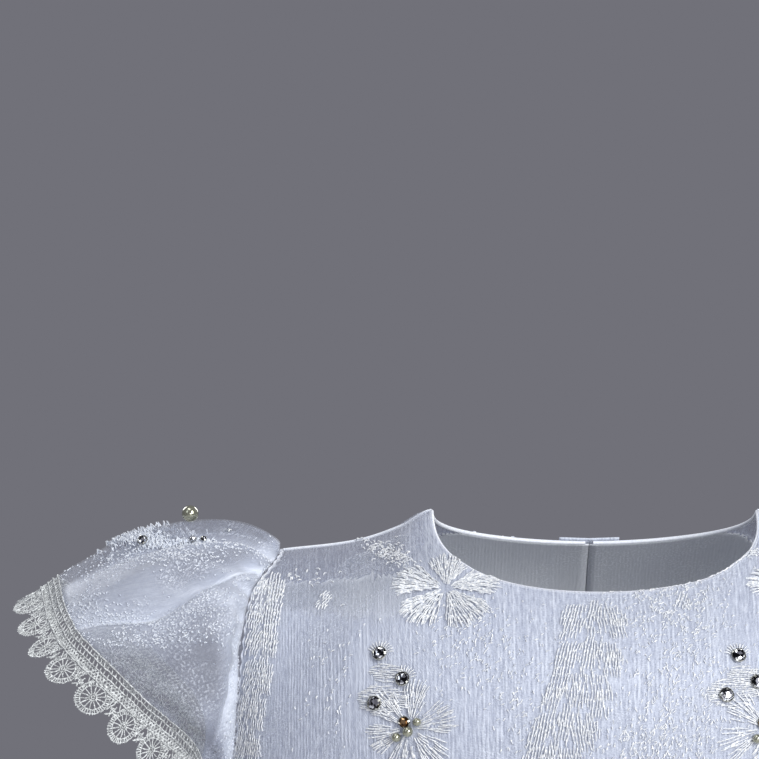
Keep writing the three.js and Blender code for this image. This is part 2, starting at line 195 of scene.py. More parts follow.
# how closely the sheer cloth bunches along the sleeve, which makes it whiter and denser; the same table also
# paints highlight along the fold ridge and paints shade in the valleys and on the sleeve's back half
bunchingAndPaintedLight = {
    "open": 0.33, "ridge": 0.22, "ridgeFront": 4, "ridgeBack": 12,
    # amount, measured from the ridge or the top, middle and spread in degrees, run where it comes and goes;
    # the bands are painted light: bright highlight lines on the ridge and near the top, painted shade just
    # above the ridge and in the valleys below it
    "bands": [
        (0.5, "ridge", 0, 1.3, (-2, -1), (2, 3)), (-0.26, "ridge", -15, 8, (0.1, 0.25), (0.45, 0.65)),
        (-0.42, "ridge", 32, 17, (0.12, 0.4), (2, 3)), (-0.5, "top", 121, 13, (0.1, 0.25), (2, 3)),
        (0.22, "top", 17, 4, (-2, -1), (2, 3)),
    ],
    "cap": 0.34, "capRun": (0.06, 0.42), "capAngles": (20, 60), "seam": 0.12, "seamRun": (0.03, 0.2),
    "gathers": 0.3, "gatherSpread": 50, "gatherFade": 6,
    "behind": 0.6, "behindStarts": (-15, -5), "behindEnds": (100, 140), "behindRun": (0.02, 0.2),
}


def sleeveLayersAndPaintedLight(angle, run):
    # 0 is one open layer, 1 is folded several times; painted highlight and painted shade are added to the same
    # value
    b = bunchingAndPaintedLight
    at = np.mod(angle + 180, 360) - 180
    away = at - readCurve([0, 1 / 3, 2 / 3, 1], sleeve["folds"][0][0], run)
    spread = np.where(away > 0, b["ridgeFront"], b["ridgeBack"])
    # whiter along the ridge: partly the fold doubling the cloth, partly a painted highlight
    layersAndPaintedLight = b["open"] + b["ridge"] * np.exp(-(away / spread) ** 2)
    for amount, start, middle, spread, comes, goes in b["bands"]:
        near = np.exp(-(((away if start == "ridge" else at) - middle) / spread) ** 2)
        layersAndPaintedLight = layersAndPaintedLight + amount * near * smoothStep(run, *comes) * (1 - smoothStep(run, *goes))
    # the cap and the armhole seam are whiter: partly real gathered cloth, partly a painted highlight band
    # beside the armhole
    layersAndPaintedLight = layersAndPaintedLight + b["cap"] * (1 - smoothStep(run, *b["capRun"])) * smoothStep(at, *b["capAngles"])
    layersAndPaintedLight = layersAndPaintedLight + b["seam"] * (1 - smoothStep(run, *b["seamRun"]))
    ripples = np.cos(np.radians(at) * sleeve["gathers"]) * np.exp(-(at / b["gatherSpread"]) ** 2)
    layersAndPaintedLight = layersAndPaintedLight + b["gathers"] * ripples * (1 - run) ** b["gatherFade"]
    # the back half is made darker and thinner: painted shade on the far side of the sleeve, seen through the
    # front
    behind = smoothStep(-at, *b["behindStarts"]) * (1 - smoothStep(-at, *b["behindEnds"]))
    return layersAndPaintedLight - b["behind"] * behind * smoothStep(run, *b["behindRun"])


def cuffSpeed(angle, side):
    # millimetres of sleeve for a unit of its run, near the cuff
    step = 0.05
    return np.linalg.norm(sleevePoint(angle, 1.0, side) - sleevePoint(angle, 1 - step, side), axis=-1) / step


def unit(v):
    return v / np.maximum(np.linalg.norm(v, axis=-1, keepdims=True), 1e-12)


def sleevePoint(angle, run, side):
    angle, run = np.broadcast_arrays(np.asarray(angle, float), np.asarray(run, float))
    p = sleeveBase(angle, run, side)
    low, high = np.maximum(run - 0.01, 0), np.minimum(run + 0.01, 1)
    around = sleeveBase(angle + 1, run, side) - sleeveBase(angle - 1, run, side)
    down = sleeveBase(angle, high, side) - sleeveBase(angle, low, side)
    out = unit(np.cross(down, around)) * side
    return p + out * sleeveLift(angle, run)[..., None]


def laceFrame(angle, side):
    edge = sleevePoint(angle, 1.0, side)
    along = unit(ringVector("end", angle, side))
    middle = (ringVector("cuff", np.array(90.0), side) + ringVector("cuff", np.array(270.0), side)) / 2
    away = edge - middle
    away = unit(away - along * np.sum(away * along, axis=-1, keepdims=True))
    return edge, along, away


def lacePoint(angle, width, side):
    edge, along, away = laceFrame(angle, side)
    full = lace["straight"] + lace["scallopDepth"]
    w = np.asarray(width, float)[..., None]
    return edge + along * (w + lace["offset"]) + away * (lace["flare"] * np.sign(w) * w * w / full)


def skirtPoint(turn, z, shrink=0.0, waveScale=1.0):
    turn, z = np.broadcast_arrays(np.asarray(turn, float), np.asarray(z, float))
    s = skirt
    angle = turn * 2 * np.pi
    half = readCurve(s["z"], s["half"], z) - shrink
    depth = np.where(turn < 0.5, readCurve(s["z"], s["front"], z), readCurve(s["z"], s["back"], z)) - shrink
    outward = unit(np.stack([np.cos(angle) / half, -np.sin(angle) / depth, np.zeros_like(angle)], axis=-1))
    fall = np.clip((bodice["waist"] - z) / (bodice["waist"] - s["hem"]), 0, 1)
    uneven = turn + 0.007 * np.sin(angle * 3 + 1) + 0.004 * np.sin(angle * 7)
    size = 1 + 0.28 * np.sin(angle * 5 + 2) * np.minimum(fall * 3, 1)
    wave = np.cos(uneven * 2 * np.pi * s["waves"]) * size * waveScale
    tall = s["waistWave"] + (s["hemWave"] - s["waistWave"]) * fall ** s["growth"]
    gathers = s["gatherDepth"] * np.sin(angle * s["gathers"] + 2 * np.sin(angle * 5))
    tight = gathers * np.clip(1 - fall / s["gatherLength"], 0, 1) ** 1.5
    plain = np.stack([half * np.cos(angle), -depth * np.sin(angle), z], axis=-1)
    return plain + outward * (wave * tall + tight * np.minimum(fall * 60, 1) * waveScale)[..., None]


def moveOut(points, distance):
    before = np.concatenate([points[:, :1], points[:, :-1]], axis=1)
    after = np.concatenate([points[:, 1:], points[:, -1:]], axis=1)
    above = np.concatenate([points[:1], points[:-1]], axis=0)
    below = np.concatenate([points[1:], points[-1:]], axis=0)
    return points + unit(np.cross(after - before, below - above)) * distance


# meshes

def link(name, data):
    made = bpy.data.objects.new(name, data)
    bpy.context.scene.collection.objects.link(made)
    return made


def clothGrid(name, points, inner, closed=False, upright=None):
    # points: rows x columns, in millimetres; the faces turn away from inner, a point or a function of points
    rows, columns = points.shape[:2]
    grid = np.arange(rows * columns).reshape(rows, columns)
    right = np.roll(grid, -1, axis=1) if closed else grid[:, 1:]
    left = grid if closed else grid[:, :-1]
    quads = np.stack([left[:-1], left[1:], right[1:], right[:-1]], axis=-1).reshape(-1, 4)
    flat = points.reshape(-1, 3)
    corner = flat[quads]
    middle = corner.mean(axis=1)
    normal = np.cross(corner[:, 2] - corner[:, 0], corner[:, 3] - corner[:, 1])
    away = middle - np.asarray(inner(middle) if callable(inner) else inner, float)
    if np.sum(normal * away) < 0:
        quads = quads[:, ::-1]
    mesh = bpy.data.meshes.new(name)
    mesh.from_pydata((flat * mm).tolist(), [], quads.tolist())
    lengths = clothLengths(points, quads, closed, upright)
    mesh.uv_layers.new(name="cloth").data.foreach_set("uv", lengths.reshape(-1))
    for polygon in mesh.polygons:
        polygon.use_smooth = True
    mesh.update()
    return link(name, mesh)


def clothLengths(points, quads, closed, upright):
    # the weave's own coordinates: lengths over the cloth, from its middle to the right and from its top down
    rows, columns = points.shape[:2]
    across = np.linalg.norm(np.diff(points, axis=1), axis=-1)
    s = np.concatenate([np.zeros((rows, 1)), np.cumsum(across, axis=1)], axis=1)
    s = s - s[:, columns // 2:columns // 2 + 1]
    if upright is not None:
        s = upright(points[..., 0])
    down = np.linalg.norm(np.diff(points, axis=0), axis=-1)
    t = np.concatenate([np.zeros((1, columns)), np.cumsum(down, axis=0)], axis=0)
    uv = np.stack([s, -t], axis=-1).reshape(-1, 2) * mm
    values = uv[quads.reshape(-1)].copy()
    if not closed:
        return values
    wide = float(np.linalg.norm(points[:, 0] - points[:, -1], axis=-1).mean()) * mm
    crosses = np.any(quads % columns == columns - 1, axis=1) & np.any(quads % columns == 0, axis=1)
    for q in np.nonzero(crosses)[0]:
        for k in range(4):
            if quads[q, k] % columns == 0:  # the last column's faces end past it, not back at the first
                first = quads[q, k] // columns * columns
                values[q * 4 + k] = (uv[first + columns - 1][0] + wide, uv[first][1])
    return values


def attribute(mesh, name, kind, values):
    layer = mesh.attributes.new(name, kind, "POINT")
    field = "vector" if kind == "FLOAT_VECTOR" else "value"
    layer.data.foreach_set(field, np.asarray(values, np.float32).reshape(-1))


def thicken(piece, thickness):
    wall = piece.modifiers.new("wall", "SOLIDIFY")
    wall.thickness = thickness * mm
    wall.offset = -1
    wall.use_even_offset = True


def surfaceOf(piece):
    mesh = piece.data
    return BVHTree.FromPolygons([v.co for v in mesh.vertices], [tuple(p.vertices) for p in mesh.polygons])


def finishPiece(piece, nodes, material=None):
    if material is not None:
        piece.data.materials.clear()
        piece.data.materials.append(material)
    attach(piece, "root")
    if nodes:
        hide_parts(*nodes)
    return piece


# camera, light and floor
# each light: place, what it aims at, size, power and colour
lights = {
    "keyRight": ((1.3, -1.9, 1.1), (0, 0, -0.05), (0.9, 1.4), 60, (0.98, 0.995, 0.98)),
    "front": ((0.4, -2.6, 0.3), (0, 0, -0.05), (1.0, 0.8), 12, (0.97, 0.98, 1.0)),
    "fillLeft": ((-1.7, -1.5, 1.4), (0, 0, -0.05), (0.8, 1.2), 6, (0.86, 0.93, 1.0)),
    "top": ((-0.5, -0.5, 1.9), (0, 0, -0.1), (1.2, 0.8), 9, (0.96, 0.98, 1.0)),
    "backLeft": ((-1.2, 1.4, 0.9), (0, 0, -0.1), (0.6, 1.0), 12, (0.95, 0.97, 1.0)),
    "backRight": ((1.1, 1.7, 0.7), (0, 0, -0.1), (0.8, 1.2), 16, (0.98, 0.98, 1.0)),
}
room = {"left": -2.2, "right": 2.2, "front": -3, "back": 2.2, "floor": -0.64, "air": (0.165, 0.165, 0.191, 1)}


def turnTowards(piece, way):
    piece.rotation_mode = "QUATERNION"
    piece.rotation_quaternion = way.to_track_quat("-Z", "Y")


def placeCamera():
    c = camera
    data = bpy.data.cameras.new("view")
    data.lens, data.sensor_width = c["lens"], c["sensor"]
    data.clip_start, data.clip_end = 0.01, 50
    made = link("view", data)
    e = math.radians(c["elevation"])
    back = Vector((0, -math.cos(e), math.sin(e)))
    made.location = (Vector(c["aim"]) + back * c["distance"]) * mm
    turnTowards(made, -back)
    bpy.context.scene.camera = made


def placeLight(name, place, aim, size, power, colour):
    data = bpy.data.lights.new(name, "AREA")
    data.shape = "RECTANGLE"
    data.size, data.size_y = size
    data.energy, data.color = power, colour
    made = link(name, data)
    made.location = place
    turnTowards(made, Vector(aim) - Vector(place))


def studio():
    for name, values in lights.items():
        placeLight(name, *values)
    world = bpy.data.worlds.new("studio")
    world.use_nodes = True
    backdrop = world.node_tree.nodes["Background"]
    backdrop.inputs["Color"].default_value = room["air"]
    backdrop.inputs["Strength"].default_value = 1.0
    bpy.context.scene.world = world
    bpy.context.scene.view_settings.view_transform = "Standard"
    mesh = bpy.data.meshes.new("floor")
    corners = [("left", "front"), ("right", "front"), ("right", "back"), ("left", "back")]
    mesh.from_pydata([(room[x], room[y], room["floor"]) for x, y in corners], [], [(0, 1, 2, 3)])
    floor = link("floor", mesh)
    mesh.materials.append(floorFinish())


# node trees

class Nodes:
    def __init__(self, tree):
        self.tree = tree

    def fill(self, node, inputs):  # an input takes a link from another node's output, or a value of its own
        for name, value in inputs.items():
            if isinstance(value, bpy.types.NodeSocket):
                self.tree.links.new(value, node.inputs[name])
            else:
                node.inputs[name].default_value = value

    def add(self, kind, inputs=None, **settings):
        node = self.tree.nodes.new(kind)
        for key, value in settings.items():
            setattr(node, key, value)
        self.fill(node, inputs or {})
        return node

    def math(self, operation, *values, clamp=False):
        inputs = dict(enumerate(values))
        return self.add("ShaderNodeMath", inputs, operation=operation, use_clamp=clamp).outputs[0]

    def plus(self, a, b, clamp=False):
        return self.math("ADD", a, b, clamp=clamp)

    def minus(self, a, b, clamp=False):
        return self.math("SUBTRACT", a, b, clamp=clamp)

    def times(self, a, b, clamp=False):
        return self.math("MULTIPLY", a, b, clamp=clamp)

    def above(self, value, start, slope):  # 0 up to start, then rising to 1
        return self.times(self.minus(value, start), slope, clamp=True)

    def noise(self, vector, scale, detail=2):
        inputs = {"Vector": vector, "Scale": scale, "Detail": detail}
        return self.add("ShaderNodeTexNoise", inputs).outputs["Fac"]

    def objectPlace(self):
        return self.add("ShaderNodeTexCoord").outputs["Object"]

    def clothPlace(self):
        return self.add("ShaderNodeUVMap", uv_map="cloth").outputs[0]

    def tint(self, share, dark, light):
        inputs = {"Factor": share, "A": (*dark, 1), "B": (*light, 1)}
        return self.add("ShaderNodeMix", inputs, data_type="RGBA").outputs["Result"]

    def bump(self, height, strength, distance):
        inputs = {"Strength": strength, "Distance": distance, "Height": height}
        return self.add("ShaderNodeBump", inputs).outputs["Normal"]

    def named(self, name, kind="FLOAT"):
        node = self.add("GeometryNodeInputNamedAttribute", {"Name": name}, data_type=kind)
        return node.outputs["Attribute"]

    def paint(self, shape, finish):
        real = self.add("GeometryNodeRealizeInstances", {"Geometry": shape}).outputs["Geometry"]
        return self.add("GeometryNodeSetMaterial", {"Geometry": real, "Material": finish}).outputs["Geometry"]


def newTree(name, kind, inputs, outputs):
    # inputs: name, kind of socket and value; outputs: name and kind of socket
    tree = bpy.data.node_groups.new(name, kind)
    for label, socketKind, value in inputs:
        socket = tree.interface.new_socket(name=label, in_out="INPUT", socket_type="NodeSocket" + socketKind)
        if value is not None:
            socket.default_value = value
    for label, socketKind in outputs:
        tree.interface.new_socket(name=label, in_out="OUTPUT", socket_type="NodeSocket" + socketKind)
    n = Nodes(tree)
    return n, n.add("NodeGroupInput").outputs, n.add("NodeGroupOutput")


def newMaterial(name):
    material = bpy.data.materials.new(name)
    material.use_nodes = True
    return material, Nodes(material.node_tree), material.node_tree.nodes["Principled BSDF"]


# materials

def floorFinish():
    material, n, surface = newMaterial("paleFloor")
    n.fill(surface, {"Base Color": (0.62, 0.62, 0.64, 1), "Roughness": 0.8})
    return material


def weaveGroup():
    inputs = [("Rib Width", "Float", 0.0011), ("Slub", "Float", 0.5), ("Openness", "Float", 0.3)]
    outputs = [("Height", "Float"), ("Cover", "Float"), ("Shade", "Float")]
    n, given, end = newTree("ribWeave", "ShaderNodeTree", inputs, outputs)
    uv = n.clothPlace()

    def grain(scale, stretch, detail):
        place = n.add("ShaderNodeMapping", {"Scale": stretch, "Vector": uv}).outputs[0]
        return n.minus(n.noise(place, scale, detail), 0.5)

    slub = grain(1900, (1, 0.16, 1), 2)  # short thick places in the upright threads
    streak = grain(800, (1, 0.035, 1), 2)  # long ones
    fine = grain(3400, (0.5, 1, 1), 1)
    wander = grain(70, (1, 1, 1), 1)  # bends the ribs a little
    right = n.add("ShaderNodeSeparateXYZ", {0: uv}).outputs["X"]
    across = n.math("DIVIDE", n.plus(right, n.times(wander, 0.0008)), given["Rib Width"])
    rib = n.plus(n.times(n.math("SINE", n.times(across, 2 * math.pi)), 0.5), 0.5)
    broken = n.times(n.minus(rib, 0.5), n.plus(n.times(streak, 3.0), 0.45))
    body = n.plus(n.times(slub, 1.7), n.plus(n.times(streak, 0.9), fine))
    body = n.plus(body, n.times(broken, 0.45))
    shade = n.plus(n.times(body, given["Slub"]), 0.5, clamp=True)
    cover = n.minus(1.0, n.times(given["Openness"], n.minus(1.0, shade)), clamp=True)
    n.fill(end, {"Height": n.plus(body, n.times(rib, 0.35)), "Cover": cover, "Shade": shade})
    return n.tree


def speckleGroup():
    inputs = [("Scale", "Float", 1500)]
    n, given, end = newTree("threadSpeckle", "ShaderNodeTree", inputs, [("Mask", "Float")])
    uv = n.clothPlace()
    fine = n.above(n.noise(uv, given["Scale"]), 0.52, 9.0)
    zone = n.above(n.noise(uv, 55), 0.44, 6.0)
    n.fill(end, {"Mask": n.times(fine, zone)})
    return n.tree


# cover is how much of the cloth is thread; cloth that reads the per-point attribute is whiter and denser where
# it is higher, from real layering and, on the sleeves, from painted highlight and painted shade
def clothFinish(name, colour, light, roughness, sheen, cover=None, ribWidth=0.0011, slub=0.5, openness=0.3,
                bump=0.35, speckled=0.4, layeredAndPaintedLight=False):
    material, n, surface = newMaterial(name)
    ribInputs = {"Rib Width": ribWidth, "Slub": slub, "Openness": openness}
    rib = n.add("ShaderNodeGroup", ribInputs, node_tree=weave).outputs
    spots = n.add("ShaderNodeGroup", node_tree=speckle).outputs["Mask"]
    whiter = n.plus(n.times(spots, speckled), rib["Shade"], clamp=True)
    if layeredAndPaintedLight:
        # the attribute lightens or darkens the colour: real layering, plus painted highlight and painted shade
        # on the sleeves
        layersAndPaintedLight = n.add("ShaderNodeAttribute", attribute_name="layersAndPaintedLight").outputs["Fac"]
        whiter = n.plus(whiter, n.times(n.minus(layersAndPaintedLight, 0.4), 0.8), clamp=True)
    raised = n.bump(n.plus(rib["Height"], n.times(spots, 1.2)), bump, 0.0002)
    n.fill(surface, {"Base Color": n.tint(whiter, colour, light), "Normal": raised, "Roughness": roughness,
                     "Sheen Weight": sheen, "Sheen Roughness": 0.4})
    if cover is not None:
        share = n.plus(n.times(layersAndPaintedLight, 0.85), cover) if layeredAndPaintedLight else cover
        n.fill(surface, {"Alpha": n.plus(n.times(rib["Cover"], share), n.times(spots, 0.2), clamp=True)})
    return material


def threadFinish(name, colour, light, roughness=0.45):
    material, n, surface = newMaterial(name)
    grains = n.noise(n.objectPlace(), 1700)
    n.fill(surface, {"Base Color": n.tint(n.above(grains, 0.34, 3.2), colour, light), "Roughness": roughness,
                     "Sheen Weight": 0.3, "Normal": n.bump(grains, 0.4, 0.0001)})
    return material


def beadFinish(name, colour, metallic, roughness, coat=0.0, mottle=0.06):
    material, n, surface = newMaterial(name)
    light = [min(c * (1 + 2 * mottle) + mottle, 1) for c in colour]
    n.fill(surface, {"Base Color": n.tint(n.noise(n.objectPlace(), 500), colour, light), "Metallic": metallic,
                     "Roughness": roughness, "Coat Weight": coat, "Coat Roughness": 0.05})
    return material


def paintedFacetReflection(name, dark, bright):  # small cells of the base colour are painted black or mirror-bright, a painted reflection standing in for the light and dark of cut facets
    material, n, surface = newMaterial(name)
    cells = n.add("ShaderNodeTexVoronoi", {"Scale": 1150, "Vector": n.objectPlace()}).outputs["Color"]
    red = n.add("ShaderNodeSeparateColor", {0: cells}).outputs["Red"]
    paintedReflection = n.tint(n.above(red, 0.46, 8.0), dark, bright)
    n.fill(surface, {"Base Color": paintedReflection, "Metallic": 1.0, "Roughness": 0.06})
    return material


placeCamera()
studio()
weave, speckle = weaveGroup(), speckleGroup()
finishes = {
    "satin": clothFinish("satinLining", (0.70, 0.73, 0.80), (0.84, 0.86, 0.91), 0.38, 0.1, cover=0.9,
                         ribWidth=0.0009, slub=0.5, openness=0.1, bump=0.2, speckled=0.1),
    "organza": clothFinish("organza", (0.47, 0.51, 0.655), (0.80, 0.84, 0.95), 0.5, 0.35, cover=0.28,
                           slub=1.0, openness=0.5, bump=0.6, speckled=0.25, layeredAndPaintedLight=True),
    "linedOrganza": clothFinish("linedOrganza", (0.46, 0.50, 0.61), (0.73, 0.77, 0.87), 0.5, 0.35,
                                slub=1.0, bump=0.6, speckled=0.25),
    "sheer": clothFinish("sheerOrganza", (0.36, 0.395, 0.51), (0.78, 0.82, 0.92), 0.42, 0.4, cover=0.14,
                         ribWidth=0.0005, slub=0.35, openness=0.2, bump=0.25, speckled=0.9, layeredAndPaintedLight=True),
    "whiteThread": threadFinish("whiteThread", (0.86, 0.88, 0.93), (1.0, 1.0, 1.0)),
    "fineThread": threadFinish("fineSleeveThread", (0.50, 0.54, 0.64), (0.86, 0.89, 0.95)),
    "binding": threadFinish("foldedBinding", (0.74, 0.77, 0.85), (0.86, 0.88, 0.94), 0.5),
    "thread": threadFinish("embroideryThread", (0.52, 0.55, 0.63), (1.0, 1.0, 1.0)),
    "laceThread": threadFinish("laceThread", (0.27, 0.28, 0.29), (0.84, 0.86, 0.86), 0.6),
    "pearl": beadFinish("pearl", (0.36, 0.36, 0.27), 0.75, 0.14, 1.0, mottle=0.02),
    "crystal": paintedFacetReflection("rhinestone", (0.03, 0.03, 0.035), (0.95, 0.96, 1.0)),
    "amber": paintedFacetReflection("amberStone", (0.10, 0.05, 0.02), (0.85, 0.55, 0.28)),
    "claw": beadFinish("silverClaw", (0.50, 0.50, 0.46), 1.0, 0.22),
    "button": beadFinish("pearlButton", (0.72, 0.71, 0.67), 0.15, 0.2, 0.5),
}
print("studio and finishes made")

# cloth pieces: grids over the surfaces; sizes in millimetres
cloth = {
    "wall": 0.35, "columns": (32, 19), "rows": (48, 28), "bodiceOut": 0.12, "organzaOut": 0.55,
    "liningIn": 0.25, "backGap": 0.1, "sheerAcross": (38, 54), "sheerUp": (-28, -16), "linedLayers": 0.42,
    "liningTop": -22, "liningRise": 14, "sleeveColumns": 264, "sleeveRows": 44,
    "skirtColumns": 353, "skirtRows": 46, "skirtLiningColumns": 141, "skirtLiningRows": 32, "waistGap": 0.2,
    "skirtLiningIn": 1.6, "skirtLiningUp": 18, "skirtLiningWaves": 0.96, "skirtRowSpread": 1.35,
    "spineAcross": 0.6, "spineHeight": -90, "aroundOver": 4,
}


def twoSpans(low, middle, high, counts):
    return np.concatenate([np.linspace(low, middle, counts[0]), np.linspace(middle, high, counts[1])[1:]])


halfU = twoSpans(0, bodice["cornerAt"], 1, cloth["columns"])
bodiceRows = twoSpans(0, 1, 2, cloth["rows"])


def innerSpine(p):
    return np.stack([p[:, 0] * cloth["spineAcross"], p[:, 1] * 0, p[:, 2] * 0 + cloth["spineHeight"]], axis=-1)


def aroundBody(x):
    half = bodice["half"][0]
    return half * np.arcsin(np.clip(x / (half + cloth["aroundOver"]), -1, 1))


def trimShoulders(piece):
    # the lining stops below the shoulders, where the organza is left sheer
    mesh = bmesh.new()
    mesh.from_mesh(piece.data)
    gone = []
    for face in mesh.faces:
        x, _, z = face.calc_center_median() / mm
        inside = 1 - float(smoothStep(abs(x), *cloth["sheerAcross"]))
        if z > cloth["liningTop"] + cloth["liningRise"] * inside:
            gone.append(face)
    bmesh.ops.delete(mesh, geom=gone, context="FACES")
    mesh.to_mesh(piece.data)
    mesh.free()
    return piece


def makeBodice():
    made = {}
    for name, face, side in (("bodiceFront", -1, 0), ("bodiceBackLeft", 1, 1), ("bodiceBackRight", 1, -1)):
        u = np.concatenate([-halfU[:0:-1], halfU]) if side == 0 else halfU * side
        points = panelPoint(face, u[None, :], bodiceRows[:, None])
        points[..., 0] += side * cloth["backGap"] * (1 - np.abs(u))[None, :]
        points[..., 1] += face * cloth["bodiceOut"]
        way = 1 if np.sum((moveOut(points, 1) - points)[..., 1] * face) > 0 else -1
        outer = moveOut(points, cloth["organzaOut"] * way)
        made[name] = clothGrid(name, outer, innerSpine, upright=aroundBody)
        at = outer.reshape(-1, 3)
        sheer = smoothStep(np.abs(at[:, 0]), *cloth["sheerAcross"]) * smoothStep(at[:, 2], *cloth["sheerUp"])
        attribute(made[name].data, "layersAndPaintedLight", "FLOAT", cloth["linedLayers"] * (1 - sheer))
        inner = moveOut(points, -cloth["liningIn"] * way)
        lining = clothGrid(name + "Lining", inner, innerSpine, upright=aroundBody)
        made[name + "Lining"] = trimShoulders(lining)
    return made


def makeSleeve(name, side):
    angles = np.linspace(0, 360, cloth["sleeveColumns"] + 1)[:-1]
    last = 1 - lace["header"] / cuffSpeed(angles, side)
    runs = np.linspace(0, 1, cloth["sleeveRows"])[:, None] * last[None, :]
    angles, runs = np.broadcast_arrays(angles[None, :], runs)
    points = sleevePoint(angles, runs, side)
    piece = clothGrid(name, points, points.mean(axis=1).mean(axis=0), closed=True)
    # the sleeve's attribute holds real bunching plus painted highlight and painted shade
    attribute(piece.data, "layersAndPaintedLight", "FLOAT", np.clip(sleeveLayersAndPaintedLight(angles, runs), 0, 1))
    return piece


def upAxis(p):
    return np.stack([p[:, 0] * 0, p[:, 1] * 0, p[:, 2]], axis=-1)


def makeSkirt(name, low, high, shrink, hem, waveScale, columns, rows):
    turns = np.linspace(low, high, columns)
    waist = bodice["waist"] - cloth["waistGap"]
    heights = waist + (hem - waist) * np.linspace(0, 1, rows) ** cloth["skirtRowSpread"]
    points = skirtPoint(turns[None, :], heights[:, None], shrink, waveScale)
    return clothGrid(name, points, upAxis)


pieces = makeBodice()
for name, side in (("sleeveLeft", 1), ("sleeveRight", -1)):
    pieces[name] = makeSleeve(name, side)
for name, low, high in (("skirtFront", 0, 0.5), ("skirtBack", 0.5, 1)):
    pieces[name] = makeSkirt(
        name, low, high, 0.0, skirt["hem"], 1.0, cloth["skirtColumns"], cloth["skirtRows"])
    pieces[name + "Lining"] = makeSkirt(
        name + "Lining", low, high, cloth["skirtLiningIn"], skirt["hem"] + cloth["skirtLiningUp"],
        cloth["skirtLiningWaves"], cloth["skirtLiningColumns"], cloth["skirtLiningRows"])
surfaces = {name: surfaceOf(piece) for name, piece in pieces.items() if not name.endswith("Lining")}

clothPieces = {
    "bodiceFront": ("bodice_front", "organza"), "bodiceBackLeft": ("bodice_back_left", "organza"),
    "bodiceBackRight": ("bodice_back_right", "organza"), "sleeveLeft": ("sleeve_left", "sheer"),
    "sleeveRight": ("sleeve_right", "sheer"), "skirtFront": ("skirt_front", "linedOrganza"),
    "skirtBack": ("skirt_back", "linedOrganza"),
}
for name, (node, finish) in clothPieces.items():
    finishPiece(pieces[name], [node], finishes[finish])
    thicken(pieces[name], cloth["wall"])
    lining = pieces.get(name + "Lining")
    if lining:
        finishPiece(lining, [], finishes["satin"])
        thicken(lining, cloth["wall"])
print("cloth made")


# thread work: every stitch and cord is a short line that one node tree turns into thread

def threadTree():
    inputs = [("Lines", "Geometry", None), ("Radius", "Float", 0.0002), ("Sides", "Int", 3),
              ("Finish", "Material", None)]
    n, given, end = newTree("threads", "GeometryNodeTree", inputs, [("Threads", "Geometry")])
    curves = n.add("GeometryNodeMeshToCurve", {"Mesh": given["Lines"]}).outputs["Curve"]
    radius = {"Curve": curves, "Radius": n.named("thick")}
    sized = n.add("GeometryNodeSetCurveRadius", radius).outputs["Curve"]
    size = {"Resolution": given["Sides"], "Radius": given["Radius"]}
    ring = n.add("GeometryNodeCurvePrimitiveCircle", size).outputs["Curve"]
    sweep = {"Fill Caps": True, "Curve": sized, "Profile Curve": ring}
    tube = n.add("GeometryNodeCurveToMesh", sweep).outputs["Mesh"]
    smooth = n.add("GeometryNodeSetShadeSmooth", {"Geometry": tube}).outputs["Geometry"]
    n.fill(end, {"Threads": n.paint(smooth, given["Finish"])})
    return n.tree


def scatterTree():
    inputs = [("Places", "Geometry", None), ("Shape", "Object", None), ("Finish", "Material", None)]
    n, given, end = newTree("scatter", "GeometryNodeTree", inputs, [("Beads", "Geometry")])
    shape = n.add("GeometryNodeObjectInfo", {"Object": given["Shape"]}).outputs["Geometry"]
    aim = n.add("FunctionNodeAlignRotationToVector", {"Vector": n.named("facing", "FLOAT_VECTOR")}, axis="Z")
    turn = n.add("FunctionNodeAxisAngleToRotation", {"Axis": (0, 0, 1), "Angle": n.named("spin")})
    turns = {"Rotation": aim.outputs["Rotation"], "Rotate By": turn.outputs["Rotation"]}
    both = n.add("FunctionNodeRotateRotation", turns, rotation_space="LOCAL").outputs["Rotation"]
    points = n.add("GeometryNodeMeshToPoints", {"Mesh": given["Places"]}).outputs["Points"]
    put = n.add("GeometryNodeInstanceOnPoints",
                {"Points": points, "Instance": shape, "Rotation": both, "Scale": n.named("size")})
    n.fill(end, {"Beads": n.paint(put.outputs["Instances"], given["Finish"])})
    return n.tree


trees = {"threads": threadTree(), "scatter": scatterTree()}


def runTree(name, mesh, tree, inputs):
    holder = link(name, mesh)
    modifier = holder.modifiers.new("work", "NODES")
    modifier.node_group = tree
    for item in tree.interface.items_tree:
        if item.in_out == "INPUT" and item.name in inputs:
            modifier[item.identifier] = inputs[item.name]
    solid = bpy.data.meshes.new_from_object(holder.evaluated_get(bpy.context.evaluated_depsgraph_get()))
    holder.modifiers.remove(modifier)
    holder.data = solid
    solid.name = name
    bpy.data.meshes.remove(mesh)
    return holder


class Threads:  # collects lines of points in millimetres
    def __init__(self):
        self.points, self.thick, self.edges, self.count = [], [], [], 0

    def lines(self, points, thick):  # points: lines x points x 3; thick: one value for each point of a line
        lines, size = points.shape[:2]
        thick = np.broadcast_to(np.asarray(thick, float), (lines, size))
        first = self.count + np.arange(lines)[:, None] * size + np.arange(size - 1)[None, :]
        self.edges.append(np.stack([first, first + 1], axis=-1).reshape(-1, 2))
        self.points.append(points.reshape(-1, 3))
        self.thick.append(thick.reshape(-1))
        self.count += lines * size

    def piece(self, name, finish, radius, sides=3):
        mesh = bpy.data.meshes.new(name + "Lines")
        points, edges = np.concatenate(self.points), np.concatenate(self.edges)
        mesh.from_pydata((points * mm).tolist(), edges.tolist(), [])
        attribute(mesh, "thick", "FLOAT", np.concatenate(self.thick))
        inputs = {"Radius": radius * mm, "Sides": sides, "Finish": finish}
        return runTree(name, mesh, trees["threads"], inputs)


# a placer turns a motif's own flat millimetres (s to the right, t up) into points and normals on the cloth

